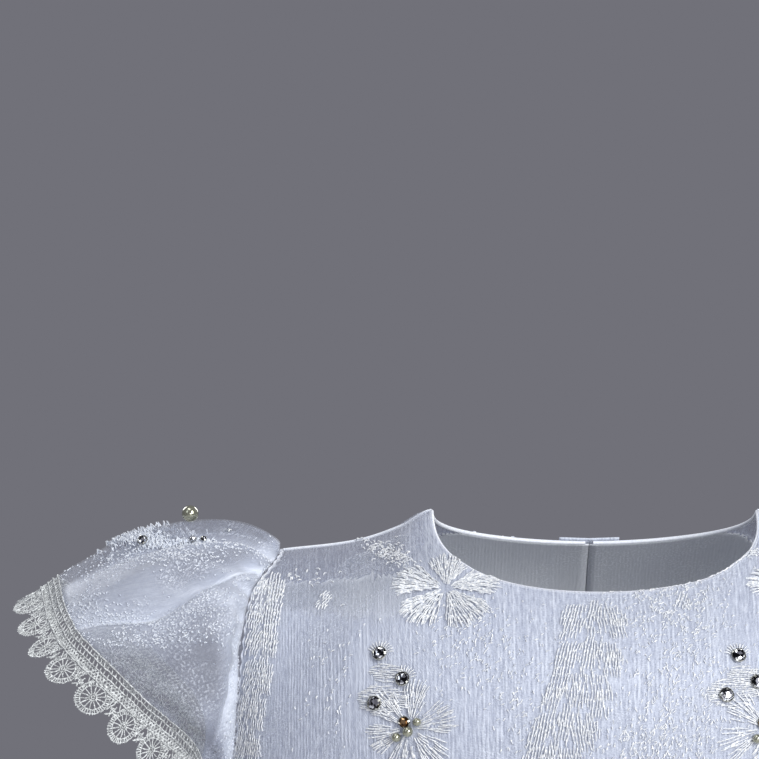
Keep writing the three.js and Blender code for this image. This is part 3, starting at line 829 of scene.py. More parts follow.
def placerOn(surface, origin, direction):
    hit, normal, _, _ = surface.ray_cast(origin, direction)
    if hit is None:
        return None
    if normal.dot(direction) > 0:
        normal.negate()
    north = (Vector((0, 0, 1)) - normal * normal.z).normalized()
    east = north.cross(normal)

    def place(flat):
        points, normals = np.empty((len(flat), 3)), np.empty((len(flat), 3))
        for k, (a, b) in enumerate(flat):
            near, facing, _, _ = surface.find_nearest(hit + (east * a + north * b) * mm)
            points[k] = near
            normals[k] = facing
        return points / mm, normals * np.sign(normals @ np.array(normal))[:, None]
    return place


def skirtPlacer(turn, z):
    near, step = 0.004, 0.2  # part of a turn; millimetres
    ring = skirtPoint(np.array([turn - near, turn + near]), np.array(z))
    # part of a turn for a millimetre to the right
    perMm = -2 * near / np.linalg.norm(ring[1] - ring[0]) / sprays["drawnIn"]

    def place(flat, way=1):
        a, b = turn + flat[:, 0] * perMm, z + flat[:, 1]
        across = skirtPoint(a + perMm * step, b) - skirtPoint(a - perMm * step, b)
        upward = skirtPoint(a, b + step) - skirtPoint(a, b - step)
        return skirtPoint(a, b), unit(np.cross(across, upward)) * way
    at, normal = place(np.zeros((1, 2)))
    outward = 1 if np.dot(normal[0][:2], at[0][:2]) > 0 else -1
    return lambda flat: place(flat, outward)


# stitches taper to their ends, which are sunk in the cloth; lengths in millimetres
stitch = {"sink": 0.03, "ends": 0.45, "shortest": 0.6, "longest": 1.6}


def turned(s, t, angle, x0, y0, x1, y1):
    ca, sa = math.cos(angle), math.sin(angle)
    return s + x0 * ca - y0 * sa, t + x0 * sa + y0 * ca, s + x1 * ca - y1 * sa, t + x1 * sa + y1 * ca


def centred(s, t, angle, half):
    x, y = half * math.cos(angle), half * math.sin(angle)
    return s - x, t - y, s + x, t + y


class Embroidery(Threads):  # each motif gives its stitches as (s, t, s, t), the two ends of each
    petalBands = ((0.14, 0.36), (0.3, 0.56), (0.5, 0.8), (0.74, 1.0))

    def __init__(self, seed):
        super().__init__()
        self.random = random.Random(seed)

    def sew(self, place, stitches, rise, width=1.0):
        if place is None or not stitches:
            return
        ends = np.array(stitches).reshape(-1, 2, 2)
        middle = ends.mean(axis=1)
        flat = np.stack([ends[:, 0], middle, ends[:, 1]], axis=1).reshape(-1, 2)
        points, normals = place(flat)
        cut = np.linalg.norm(ends[:, 1] - ends[:, 0], axis=1)
        laid = points.reshape(-1, 3, 3)
        real = np.linalg.norm(laid[:, 2] - laid[:, 0], axis=1) / np.maximum(cut, 1e-6)
        kept = (real > stitch["shortest"]) & (real < stitch["longest"])  # others fell past an edge
        high = np.tile([stitch["sink"], rise, stitch["sink"]], len(ends))[:, None]
        thick = np.array([stitch["ends"], 1.0, stitch["ends"]]) * width
        self.lines((points + normals * high).reshape(-1, 3, 3)[kept], thick)

    def leaf(self, s, t, angle, length, width, gap, slant):  # two rows of slanted stitches from a middle line
        r = self.random
        made = []
        count = max(int(length / gap), 3)
        for k in range(count):
            x = length * (k + 0.5) / count
            half = width / 2 * math.sin(math.pi * (k + 0.7) / (count + 0.6)) ** 0.7
            for side in (-1, 1):
                x0, y0 = x - r.uniform(0, 0.2), side * r.uniform(0.05, 0.25)
                x1, y1 = x + half * slant + r.uniform(-0.2, 0.2), side * (half + r.uniform(-0.15, 0.15))
                made.append(turned(s, t, angle, x0, y0, x1, y1))
        return made

    def tuft(self, s, t, angle, length, width, grain=1.45, pitch=0.78, size=2.7):
        # a leaf filled with upright stitches in staggered rows
        r = self.random
        ca, sa = math.cos(angle), math.sin(angle)
        made = []
        for row, y in enumerate(np.arange(-length / 2, length / 2 + 0.1, size * 0.72)):
            for x in np.arange(-length / 2, length / 2, pitch) + (pitch / 2 if row % 2 else 0):
                along, side = x * ca + y * sa, -x * sa + y * ca
                if (2 * along / length) ** 2 + (2 * side / width) ** 2 > 1 or r.random() < 0.06:
                    continue
                lean = grain + r.uniform(-0.13, 0.13)
                half = size * r.uniform(0.38, 0.6)
                across, up = s + x + r.uniform(-0.1, 0.1), t + y + r.uniform(-0.35, 0.35)
                made.append(centred(across, up, lean, half))
        return made

    def flower(self, radius, petals=5, turn=0.3, gap=0.6, bands=petalBands, loose=0.0):
        r = self.random
        made = []
        for p in range(petals):
            middle = turn + p * 2 * math.pi / petals
            half = math.pi / petals * 0.9
            reach = radius * r.uniform(0.92, 1.04)
            for low, high in bands:
                count = max(int(2 * half * reach * (low + high) / 2 / gap), 3)
                for k in range(count):
                    f = (k + r.uniform(0.2, 0.8)) / count * 2 - 1
                    if r.random() < loose:
                        continue
                    edge = reach * (1 - 0.26 * abs(f) ** 2.4 - 0.08 * (1 - abs(f)))
                    a = middle + f * half * (0.75 + 0.25 * low)
                    r0, r1 = edge * (low + r.uniform(-0.04, 0.04)), edge * (high + r.uniform(-0.06, 0.04))
                    bend = r.uniform(-0.05, 0.05)
                    b = a + bend
                    made.append((r0 * math.cos(a), r0 * math.sin(a), r1 * math.cos(b), r1 * math.sin(b)))
        return made

    def seeds(self, wide, high, count, length=0.9, angle=None, spread=0.6):
        # short stitches strewn about a place
        r = self.random
        made = []
        for _ in range(count):
            s, t = r.gauss(0, wide / 2.4), r.gauss(0, high / 2.4)
            a = r.uniform(0, math.pi) if angle is None else angle + r.uniform(-spread, spread)
            made.append(centred(s, t, a, length * r.uniform(0.6, 1.3) / 2))
        return made


# beads

class Beads:
    def __init__(self):
        self.points, self.facing, self.size, self.spin = [], [], [], []

    def add(self, place, s, t, height, size=1.0, spin=0.0):
        if place is None:
            return
        point, normal = place(np.array([[s, t]]))
        self.points.append(point[0] + normal[0] * height)
        self.facing.append(normal[0])
        self.size.append(size)
        self.spin.append(spin)

    def piece(self, name, shape, finish):
        mesh = bpy.data.meshes.new(name + "Places")
        mesh.from_pydata((np.array(self.points) * mm).tolist(), [], [])
        attribute(mesh, "facing", "FLOAT_VECTOR", self.facing)
        attribute(mesh, "size", "FLOAT", self.size)
        attribute(mesh, "spin", "FLOAT", self.spin)
        return runTree(name, mesh, trees["scatter"], {"Shape": shape, "Finish": finish})


def lathe(name, profile, sides, smooth=True):
    # profile: (radius, height) in millimetres, from the axis to the axis
    points, rings = [], []
    for radius, height in profile:
        if radius < 1e-6:
            rings.append([len(points)])
            points.append((0, 0, height * mm))
            continue
        rings.append(list(range(len(points), len(points) + sides)))
        for k in range(sides):
            a = 2 * math.pi * k / sides
            points.append((radius * mm * math.cos(a), radius * mm * math.sin(a), height * mm))
    faces = []
    for low, high in zip(rings[:-1], rings[1:]):
        for k in range(sides):
            a, b = low[k % len(low)], low[(k + 1) % len(low)]
            c, d = high[(k + 1) % len(high)], high[k % len(high)]
            faces.append([x for i, x in enumerate((a, b, c, d)) if x not in (a, b, c, d)[:i]])
    mesh = bpy.data.meshes.new(name)
    mesh.from_pydata(points, [], faces)
    for polygon in mesh.polygons:
        polygon.use_smooth = smooth
    mesh.update()
    return bpy.data.objects.new(name, mesh)


def sphereProfile(radius, rings):
    angles = [math.pi * k / rings for k in range(rings + 1)]
    return [(radius * math.sin(a), -radius * math.cos(a)) for a in angles]


# outlines from the axis to the axis, in millimetres; prongs: distance out, height and half width
setting = {
    "cup": [(0, 0), (1.5, 0), (1.9, 0.75), (1.72, 0.95), (1.3, 0.5), (0, 0.4)], "sides": 14,
    "prongs": [(1.92, 0.5, 0.34), (1.86, 1.05, 0.3), (1.45, 1.3, 0.22)], "prongDepth": 0.18,
    "stone": [(0, 0.35), (1.2, 0.55), (1.62, 0.95), (1.3, 1.38), (0.86, 1.52), (0, 1.54)], "facets": 8,
    "pearlRadius": 1.75, "pearlHeight": 1.35,
    "button": [(0, 0), (3.5, 0), (4.05, 0.45), (4.2, 1.1), (4.0, 1.75), (3.6, 2.1), (3.35, 2.0), (3.0, 2.35),
               (2.2, 2.85), (1.1, 3.12), (0, 3.2)],
}


def clawShape():  # a low cup with four prongs bent over the stone
    cup = lathe("cup", setting["cup"], setting["sides"])
    points = [tuple(v.co) for v in cup.data.vertices]
    faces = [tuple(p.vertices) for p in cup.data.polygons]
    deep = -setting["prongDepth"]
    for k in range(4):
        a = math.pi / 4 + k * math.pi / 2
        ca, sa = math.cos(a), math.sin(a)
        first = len(points)
        for out, z, half in setting["prongs"]:
            for side, depth in ((-1, 0), (1, 0), (1, deep), (-1, deep)):
                x, y = out + depth, side * half
                points.append(((x * ca - y * sa) * mm, (x * sa + y * ca) * mm, (z + depth * 0.6) * mm))
        for low in (first, first + 4):
            for j in range(4):
                ahead = (j + 1) % 4
                faces.append((low + j, low + ahead, low + 4 + ahead, low + 4 + j))
        faces.append((first + 8, first + 9, first + 10, first + 11))
        faces.append((first + 3, first + 2, first + 1, first))
    mesh = bpy.data.meshes.new("claws")
    mesh.from_pydata(points, [], faces)
    bpy.data.objects.remove(cup)
    return bpy.data.objects.new("claws", mesh)


beadShapes = {
    "pearl": lathe("pearlShape", sphereProfile(setting["pearlRadius"], 10), 14),
    "stone": lathe("stoneShape", setting["stone"], setting["facets"], False),
    "claws": clawShape(),
    "button": lathe("buttonShape", setting["button"], 32),
}
beads = {"pearl": Beads(), "stone": Beads(), "claws": Beads(), "amber": Beads()}


def rhinestone(place, s, t, size=1.0, spin=0.4, kind="stone", lift=0.0):
    beads["claws"].add(place, s, t, lift, size, spin)
    beads[kind].add(place, s, t, lift, size, spin + 0.2)


def pearl(place, s, t, size=1.0):
    beads["pearl"].add(place, s, t, setting["pearlHeight"] * size, size)


# where the motifs lie, as picture places (px, py) of the main view

def photoRay(px, py, mirror=False):
    c = camera
    e = math.radians(c["elevation"])
    look, up = Vector((0, math.cos(e), -math.sin(e))), Vector((0, math.sin(e), math.cos(e)))
    scale = c["pixelsPerMm"] * c["distance"]
    right, down = (px - c["pictureMiddle"]) / scale, (py - c["pictureMiddle"]) / scale
    way = (look + Vector((1, 0, 0)) * right - up * down).normalized()
    start = Vector(bpy.context.scene.camera.location)
    if mirror:
        start.x, way.x = -start.x, -way.x
    return start, way


def backRay(x, z):
    return Vector((x * mm, 0.5, z * mm)), Vector((0, -1, 0))


def flatPlace(px, py):  # how far right of the middle and above the neck point, in millimetres
    scale = camera["pixelsPerMm"]
    return (px - camera["gownMiddle"]) / scale, -(py - camera["neckPoint"]) / scale


motifs = {
    "repeat": 358, "flower": (446, 588), "flowerRadius": 16.3, "flowerTurn": math.radians(-52),
    "stones": [(380, 654), (403, 679), (375, 703)], "repeatStones": [(380, 656), (399, 682), (368, 695)],
    "beadFlower": (409, 728), "beadRadius": 13.5, "beadBands": ((0.24, 0.5), (0.45, 0.75), (0.66, 1.0)),
    "beadPearls": ((2.2, 1.7, 0.62), (0, -0.8, 0.78), (-3.0, -2.4, 0.7)),
    "lowFlower": (470, 868), "lowRadius": 13.0,
    "vine": [(594, 588), (592, 625), (586, 660), (574, 695), (560, 730), (548, 765), (544, 800), (552, 835),
             (566, 870), (584, 905), (596, 940)],
    "armhole": [(271, 566), (267, 590), (264, 618), (262, 645), (257, 680), (250, 715), (246, 750),
                (246, 790), (252, 830), (262, 870), (274, 910)],
    # leaves beside a stem: offset across, lean from straight down, length and width
    "vineLeaves": ((-5.0, -0.75, 8.5, 4.6), (0.2, -0.1, 6.5, 4.2), (5.2, 0.7, 8.5, 4.6)),
    "armholeLeaves": ((-2.6, -0.2, 6.5, 4.6), (2.6, 0.75, 7, 4.4)),
    "backLeaves": ((-2.6, -0.3, 6.5, 4.6), (2.6, 0.6, 7, 4.4)),
    # loose stitches: picture place, width, height and count
    "seeds": [(668, 600, 20, 18, 330), (680, 700, 22, 36, 620), (520, 700, 12, 36, 160),
              (640, 745, 18, 10, 200), (470, 640, 14, 22, 200), (330, 680, 14, 30, 60)],
}


def levelStitches(work, wide, high):  # rows of level stitches in a rounded patch
    made = []
    for y in np.arange(-high / 2, high / 2, 0.5):
        half = wide / 2 * math.sqrt(max(1 - (2 * y / high) ** 2, 0.1))
        start = -half + work.random.uniform(-0.5, 0.5)
        for x in np.arange(start, half - 2, 2.7):
            end = x + work.random.uniform(2.2, 3.4)
            made.append((x, y, end, y + work.random.uniform(-0.4, 0.5)))
    return made


def sewStones(work, placer, spots):  # three stones with leaves of level stitches about them
    a, b, c = spots
    ways = [(math.cos(t), math.sin(t)) for t in np.linspace(0.3, 2.8, 11)]
    fan = [(1.9 * x, 1.9 * y, 3.6 * x, 3.6 * y) for x, y in ways]
    work.sew(placer(*a), fan, 0.4)
    work.sew(placer(*b), fan[:7], 0.4)
    middle = placer((a[0] + b[0]) / 2 - 4, (a[1] + b[1]) / 2 + 6)
    work.sew(middle, levelStitches(work, 9, 5), 0.4)
    patch = levelStitches(work, 14, 7.5)
    work.sew(placer(c[0] + 8, c[1] - 3), [q for q in patch if math.hypot(q[0] + 2.1, q[1] + 0.8) > 2.0], 0.4)
    for k, spot in enumerate(spots):
        rhinestone(placer(*spot), 0, 0, 1.0, 0.5 + k)


def sewBeadFlower(work, place):
    work.sew(place, work.flower(motifs["beadRadius"], 6, 0.35, 0.6, motifs["beadBands"], 0.25), 0.45)
    rhinestone(place, -1.2, 1.5, 0.82, 0.7, "amber")
    for s, t, size in motifs["beadPearls"]:
        pearl(place, s, t, size)


def sewVine(work, placer, path, leaves):
    for (px, py), (nextX, nextY) in zip(path[:-1], path[1:]):
        for part in (0, 0.62):
            place = placer(px + (nextX - px) * part, py + (nextY - py) * part)
            for offset, lean, length, width in leaves:
                grain = 1.5 + lean * 0.22 + work.random.uniform(-0.08, 0.08)
                up = work.random.uniform(-0.6, 0.6) - 0.25 * abs(offset)
                work.sew(place, work.tuft(offset, up, -math.pi / 2 + lean, length, width, grain), 0.42)


def sewBodice(work, placer):
    m = motifs
    for shift in (0, m["repeat"]):
        def at(px, py):
            return placer(px + shift, py)
        work.sew(at(*m["flower"]), work.flower(m["flowerRadius"], 5, m["flowerTurn"], 0.5), 0.5)
        sewStones(work, at, m["repeatStones" if shift else "stones"])
        sewBeadFlower(work, at(*m["beadFlower"]))
        work.sew(at(*m["lowFlower"]), work.flower(m["lowRadius"], 5, 0.6, 0.5), 0.5)
        work.sew(at(324, 600), work.tuft(0, 0, -1.35, 6.5, 3.6, 1.4, 0.9, 1.6), 0.25)
        work.sew(at(390, 553), work.seeds(19, 3.4, 190, 1.2, 0.5, 1.0), 0.4)
        work.sew(at(310, 577), work.seeds(9, 5, 22, 0.9), 0.35)
    sewVine(work, placer, m["vine"], m["vineLeaves"])
    for px, py, wide, high, count in m["seeds"]:
        work.sew(placer(px, py), work.seeds(wide, high, count, 0.9, 1.2, 0.9), 0.22, 0.6)


def frontPlacer(px, py, mirror=False):
    return placerOn(surfaces["bodiceFront"], *photoRay(px, py, mirror))


def backSurface(x):
    return surfaces["bodiceBackLeft" if x > 0 else "bodiceBackRight"]


def backPlacer(px, py):
    # the front's layout again, off the placket and the neck edge
    x, z = flatPlace(px, py)
    return None if abs(x) < 13 else placerOn(backSurface(-x), *backRay(-x, min(z + 4, -17)))


bodiceWork = {"front": Embroidery(11), "back": Embroidery(12)}
sewBodice(bodiceWork["front"], frontPlacer)
for mirror in (False, True):
    way = -1 if mirror else 1
    leaves = [(offset * way, lean * way, *size) for offset, lean, *size in motifs["armholeLeaves"]]
    sewVine(bodiceWork["front"], lambda px, py: frontPlacer(px, py, mirror), motifs["armhole"], leaves)
sewBodice(bodiceWork["back"], backPlacer)
for side in (-1, 1):
    def band(px, py):
        x, z = flatPlace(px, py)
        return placerOn(backSurface(side), *backRay(-x * side, z + 2))
    sewVine(bodiceWork["back"], band, motifs["armhole"], motifs["backLeaves"])
print("bodice embroidered")


# sleeves: fine speckled stitching along the folds, a raised spray and beads on top
sleeveMotifs = {
    # picture place, width, height, count and angle
    "bands": [
        (240, 578, 9, 4, 60, 0.3), (215, 596, 12, 4, 80, 0.35), (185, 610, 14, 5, 110, 0.3),
        (150, 624, 16, 6, 160, 0.15), (115, 622, 16, 8, 190, 0.0), (85, 610, 12, 10, 150, -0.3),
        (62, 592, 8, 10, 100, -0.6), (95, 570, 14, 9, 90, 0.4), (130, 560, 16, 6, 120, 0.1),
        (165, 552, 18, 5, 170, 0.1), (200, 546, 16, 4, 130, 0.0), (235, 545, 12, 4, 80, 0.0),
        (185, 560, 16, 8, 110, 0.2), (205, 628, 12, 3, 40, 0.6), (180, 636, 14, 3, 50, 0.1),
        (140, 640, 16, 3, 60, 0.0), (120, 640, 14, 3, 60, -0.3), (228, 620, 7, 10, 60, 1.2),
        (238, 680, 4, 20, 90, 1.4), (232, 735, 4, 14, 70, 1.4), (265, 560, 5, 8, 60, 1.2),
    ],
    # picture place, width, height, count and rise
    "spray": [(145, 539, 10, 2.2, 330, 1.3), (128, 532, 6, 1.8, 200, 1.2), (160, 545, 8, 1.6, 200, 0.8),
              (196, 541, 6, 1.0, 110, 0.5)],
    "stones": [(144, 542, 0.72), (124, 528, 0.66), (194, 541, 0.46), (204, 541, 0.42)], "stoneLift": 0.9,
    # on top, in millimetres from the neck's middle: place, then as above
    "topPearl": (105, -1.5, 1.28), "topStones": [(119, 9, 0.62), (96, 12, 0.55)],
    "topSpray": [(116, 4, 15, 7, 289), (121, 12, 10, 8, 187)],
    "topBands": [(100, 16, 26, 12, 260), (128, 20, 16, 12, 143), (105, 30, 30, 8, 169)],
}


def sewSleeve(work, surface, mirror):
    m = sleeveMotifs

    def at(px, py):
        return placerOn(surface, *photoRay(px, py, mirror))

    def onTop(x, y):
        return placerOn(surface, Vector((x * mm * (1 if mirror else -1), y * mm, 0.3)), Vector((0, 0, -1)))

    for px, py, wide, high, count, angle in m["bands"]:
        work.sew(at(px, py), work.seeds(wide, high, count, 0.42, -angle if mirror else angle, 1.1), 0.1, 0.34)
    for px, py, wide, high, count, rise in m["spray"]:
        work.sew(at(px, py), work.seeds(wide, high, count, 1.0, 0.4, 1.4), rise, 0.62)
    for px, py, size in m["stones"]:
        rhinestone(at(px, py), 0, 0, size, px, lift=m["stoneLift"])
    x, y, size = m["topPearl"]
    pearl(onTop(x, y), 0, 0, size)
    for x, y, size in m["topStones"]:
        rhinestone(onTop(x, y), 0, 0, size, x)
    for x, y, wide, high, count in m["topSpray"]:
        work.sew(onTop(x, y), work.seeds(wide, high, count, 1.1, 0.4, 1.4), 1.2, 0.62)
    for x, y, wide, high, count in m["topBands"]:
        work.sew(onTop(x, y), work.seeds(wide, high, count, 0.5, 0.2, 1.2), 0.12, 0.42)


sleeveWork = {1: Embroidery(21), -1: Embroidery(22)}
for side in (1, -1):
    sewSleeve(sleeveWork[side], surfaces["sleeveLeft" if side > 0 else "sleeveRight"], side > 0)
print("sleeves embroidered")


# cuff lace: cords, netting and spoked wheels drawn in (along the cuff, outward) millimetres
wheel = {
    "radius": 4.35, "wave": 0.12, "centre": 6.15, "inner": 3.3, "hub": 0.95, "eye": 0.45, "spokes": 14,
    "ticks": 40, "uneven": 0.07, "scallopWidth": 12.0, "corner": 0.26, "netTries": 34,
    "netHalf": (0.09, 1.05),
}
laceHeader = {
    "cords": ((-2.7, 1.9), (-1.2, 2.0), (0.2, 1.9), (2.5, 1.2)),  # outward and thickness
    "slants": ((0.3, 2.4, 0.07), (0.3, 2.4, -0.07), (0.8, 2.0, 0.0)),  # from, to and lean
    "ladders": (-2.6, -1.2), "rung": 1.3,
}


class LaceWork(Threads):
    def __init__(self, side):
        super().__init__()
        self.side = side
        self.pitch = 360 / lace["scallops"]
        self.uneven = np.random.default_rng(7)

    def at(self, scallop, across, outward, lift=0.0):
        # scallop: its number round from the top; across: its share, -0.5 to 0.5; outward in millimetres
        angle = (np.asarray(scallop, float) + 0.5 + np.asarray(across, float)) * self.pitch
        angle, outward = np.broadcast_arrays(angle, np.asarray(outward, float))
        points = lacePoint(angle, outward, self.side)
        onCloth = sleevePoint(angle, np.clip(1 + outward / cuffSpeed(angle, self.side), 0, 1), self.side)
        points = np.where((outward < 0)[..., None], onCloth, points)
        near = lacePoint(angle + 0.4, outward, self.side) - lacePoint(angle - 0.4, outward, self.side)
        far = lacePoint(angle, outward + 0.2, self.side) - lacePoint(angle, outward - 0.2, self.side)
        return points + unit(np.cross(near, far)) * lift * self.side

    def draw(self, across, outward, thick, lift=0.0):  # the same lines in each scallop
        across, outward = np.broadcast_arrays(np.atleast_2d(across), np.atleast_2d(outward))
        numbers = np.arange(lace["scallops"])[:, None, None]
        every = self.at(numbers, across[None], outward[None], lift).reshape(-1, across.shape[1], 3)
        self.lines(every + self.uneven.normal(0, wheel["uneven"], every.shape), thick)

    def round(self, radius, turn, thick, lift):  # about the wheel's centre
        w = wheel
        self.draw(radius * np.sin(turn) / w["scallopWidth"], w["centre"] + radius * np.cos(turn), thick, lift)


def steps(count):
    return np.linspace(-0.5, 0.5, count + 1)[:-1][:, None]


def spokesOf(count):
    return np.linspace(0, 2 * math.pi, count + 1)[:-1][:, None]


def makeLace(side):
    work = LaceWork(side)
    w, h = wheel, laceHeader
    r = random.Random(31)
    ends = np.linspace(-0.5, 0.5, 13)[None, :]
    for outward, thick in h["cords"]:
        work.draw(ends, outward, thick, 0.3)
    for low, high, lean in h["slants"]:
        work.draw(steps(11) + np.array([[-lean, 0, lean]]) + 0.02, [[low, (low + high) / 2, high]], 0.75, 0.1)
    for low in h["ladders"]:
        work.draw(steps(8) + np.array([[-0.03, 0.03]]), [[low, low + h["rung"]]], 0.6, 0.05)
    turn = np.linspace(0, 2 * math.pi, 32)[None, :]
    work.round(w["radius"] + w["wave"] * np.cos(turn * 18), turn, 1.35, 0.05)
    for radius, thick, lift in ((w["inner"], 1.0, 0.15), (w["hub"], 1.6, 0.2), (w["eye"], 1.5, 0.25)):
        work.round(radius, turn, thick, lift)
    reach = np.array([[w["hub"], (w["hub"] + w["inner"]) / 2, w["inner"]]])
    work.round(reach, spokesOf(w["spokes"]) + 0.1, np.array([0.8, 0.65, 0.9]), 0.1)
    reach = np.array([[w["inner"] - 0.1, w["radius"] + 0.25]])
    work.round(reach, spokesOf(w["ticks"]), np.array([0.9, 0.8]), 0.12)
    wide, tall = w["netHalf"]
    net = []
    for _ in range(w["netTries"]):
        x, y = r.choice((-1, 1)) * r.uniform(w["corner"], 0.5), r.uniform(2.4, 6.6)
        inWheel = math.hypot(x * w["scallopWidth"], y - w["centre"]) < w["radius"] - 0.2
        if inWheel or y > 2.6 + 4.2 * abs(x) / 0.5:
            continue
        a = r.uniform(0, math.pi)
        dx, dy = wide * math.cos(a), tall * math.sin(a)
        net.append((x - dx, x + dx, y - dy, y + dy))
    net = np.array(net)
    work.draw(net[:, :2], net[:, 2:], 0.95, 0.05)
    return work


laceWork = {side: makeLace(side) for side in (1, -1)}
print("lace drawn")


# skirt: larger sprays of the same work over the gathers; sizes in millimetres
sprays = {
    "columns": 10, "top": -165, "bottom": -590, "row": 62, "gap": 1.5, "rise": 0.7, "width": 1.9,
    "drawnIn": 1.15,  # how much the gathers narrow the motifs
    # radius, petals, bands of stitches and the share left out
    "flower": (16, 5, ((0.2, 0.6), (0.55, 1.0)), 0.0),
    "stoneFlower": (14, 6, ((0.3, 0.65), (0.6, 1.0)), 0.15),
    "vineTop": -150, "leafStep": 16, "sway": 0.004, "swayLength": 30, "leafRise": 0.6,
    "leafOff": 1.5, "leafLean": 0.45, "leaf": (9, 4.6, 1.6, 1.6),
}


def sewSkirt(work, low, high):
    c = sprays
    turns = np.linspace(low, high, c["columns"])[1:-1]
    for row, z in enumerate(np.arange(c["top"], c["bottom"], -c["row"])):
        for k, turn in enumerate(turns + (0.5 if row % 2 else 0.0) * (turns[1] - turns[0])):
            if turn > high - 0.01:
                continue
            place = skirtPlacer(turn, z)
            pearled = (row + k) % 2
            radius, petals, bands, loose = c["flower" if pearled else "stoneFlower"]
            stitches = work.flower(radius, petals, 0.3 + k, c["gap"], bands, loose)
            work.sew(place, stitches, c["rise"], c["width"])
            if pearled:
                pearl(place, 0, 0, 0.9)
            else:
                rhinestone(place, 0, 0, 1.0, k)
    for k, turn in enumerate((turns[1:] + turns[:-1]) / 2):
        for z in np.arange(c["vineTop"], c["bottom"], -c["leafStep"]):
            place = skirtPlacer(turn + c["sway"] * math.sin(z / c["swayLength"] + k), z)
            for side in (-1, 1):
                leaf = work.leaf(side * c["leafOff"], 0, -math.pi / 2 + side * c["leafLean"], *c["leaf"])
                work.sew(place, leaf, c["leafRise"], c["width"])


halves = {"Front": (0, 0.5), "Back": (0.5, 1.0)}  # from the wearer's left side round to the right, and back
skirtWork = {"Front": Embroidery(41), "Back": Embroidery(42)}
for half, work in skirtWork.items():
    sewSkirt(work, *halves[half])
print("skirt embroidered")


# trims: rolled neck edge, seams, waist piping, placket with buttons, hem; sizes in millimetres
trims = {
    "neckRim": 0.55, "shoulder": 0.4, "armhole": 0.62, "piping": 0.85, "shoulderUp": 0.35, "sideOut": 0.45,
    "armholeOut": 0.35, "armholeGathers": 60, "armholeGather": 0.25, "placketHalf": 8.0, "placketOut": 1.4,
    "placketStitchAt": 6.7, "placketWall": 0.45, "buttonZ": (-20, -46, -72, -98), "buttonholeHalf": 5.6,
    "buttonholeStitch": 0.42, "buttonholeEdges": (0.12, 0.55, 1.0), "hemTurn": 12, "hemUp": 0.3,
}


def bothFaces(u, row):
    return (panelPoint(-1, u, row) + panelPoint(1, u, row)) / 2


def seamLines():
    c = bodice["cornerAt"]
    neck = [panelPoint(1, np.linspace(0.01, c, 60), 0.0), panelPoint(-1, np.linspace(c, -c, 121), 0.0)[1:],
            panelPoint(1, np.linspace(-c, -0.01, 60), 0.0)[1:]]
    rim, seams, piping = Threads(), Threads(), Threads()
    rim.lines(np.concatenate(neck)[None], 1.0)
    for side in (1, -1):
        shoulder = bothFaces(np.linspace(c, 1, 40) * side, 0.0)
        seams.lines((shoulder + np.array([0, 0, trims["shoulderUp"]]))[None], 1.0)
        edge = bothFaces(1.0 * side, np.linspace(1, 2, 30))
        seams.lines((edge + np.array([trims["sideOut"] * side, 0, 0]))[None], 1.0)
        around = np.linspace(0, 360, 241)
        hole = armholePoint(around, side)
        gathers = trims["armholeGather"] * np.cos(np.radians(around) * trims["armholeGathers"])
        hole[:, 0] += side * (trims["armholeOut"] + gathers)
        seams.lines(hole[None], trims["armhole"] / trims["shoulder"])
    piping.lines(skirtPoint(np.linspace(0, 1, 361), bodice["waist"], -0.3, 0.6)[None], 1.0)
    return rim, seams, piping


def dashes(points, dash, gap, work, thick=1.0):  # stitches of one length along a run of points
    lengths = np.concatenate([[0], np.cumsum(np.linalg.norm(np.diff(points, axis=0), axis=1))])
    starts = np.arange(0.3, lengths[-1] - dash, dash + gap)
    at = starts[:, None] + np.array([[0, dash / 2, dash]])
    line = np.stack([np.interp(at, lengths, points[:, k]) for k in range(3)], axis=-1)
    work.lines(line, np.array([0.5, 1.0, 0.5]) * thick)


def placketPoint(x, row, out):
    x, row = np.broadcast_arrays(np.asarray(x, float), np.asarray(row, float))
    middle, beside = panelPoint(1, 0.0, row), panelPoint(1, 0.14, row)
    across = beside - middle
    across[..., 0] = np.maximum(across[..., 0], 1e-3)
    slope = across / across[..., :1]
    point = middle + slope * np.abs(x)[..., None] * np.array([0, 1, 1]) + np.stack([x, x * 0, x * 0], axis=-1)
    down = panelPoint(1, 0.0, np.minimum(row + 0.01, 2)) - panelPoint(1, 0.0, np.maximum(row - 0.01, 0))
    return point + unit(np.cross(np.array([1.0, 0, 0]), down)) * out


def rowAt(z):
    rows = np.linspace(0, 2, 2001)
    return float(np.interp(-z, -panelPoint(1, 0.0, rows)[:, 2], rows))


def ownWidth(x):
    return x


rim, seams, piping = seamLines()
across = np.linspace(-trims["placketHalf"], trims["placketHalf"], 17)[None, :]
strip = placketPoint(across, bodiceRows[:, None], trims["placketOut"])
placket = clothGrid("placket", strip, innerSpine, upright=ownWidth)
placketWork = Embroidery(61)
for x in (-trims["placketStitchAt"], trims["placketStitchAt"]):
    dashes(placketPoint(x, np.linspace(0.01, 1.99, 300), trims["placketOut"] + 0.06), 1.7, 0.7, placketWork)
for z in trims["buttonZ"]:
    for x in np.arange(-trims["buttonholeHalf"], trims["buttonholeHalf"], trims["buttonholeStitch"]):
        for side in (-1, 1):
            ends = np.array([rowAt(z + side * edge) for edge in trims["buttonholeEdges"]])
            placketWork.lines(placketPoint(x, ends, trims["placketOut"] + 0.15)[None], 1.2)
hemWork = {half: Threads() for half in halves}
for half, (low, high) in halves.items():
    turns = np.linspace(low + 0.001, high - 0.001, 1300)
    dashes(skirtPoint(turns, skirt["hem"] + trims["hemTurn"], -0.12), 3.2, 1.6, hemWork[half], 0.8)
    hemWork[half].lines(skirtPoint(turns[::2], skirt["hem"] + trims["hemUp"], 0.15)[None], 1.7)
print("trims made")

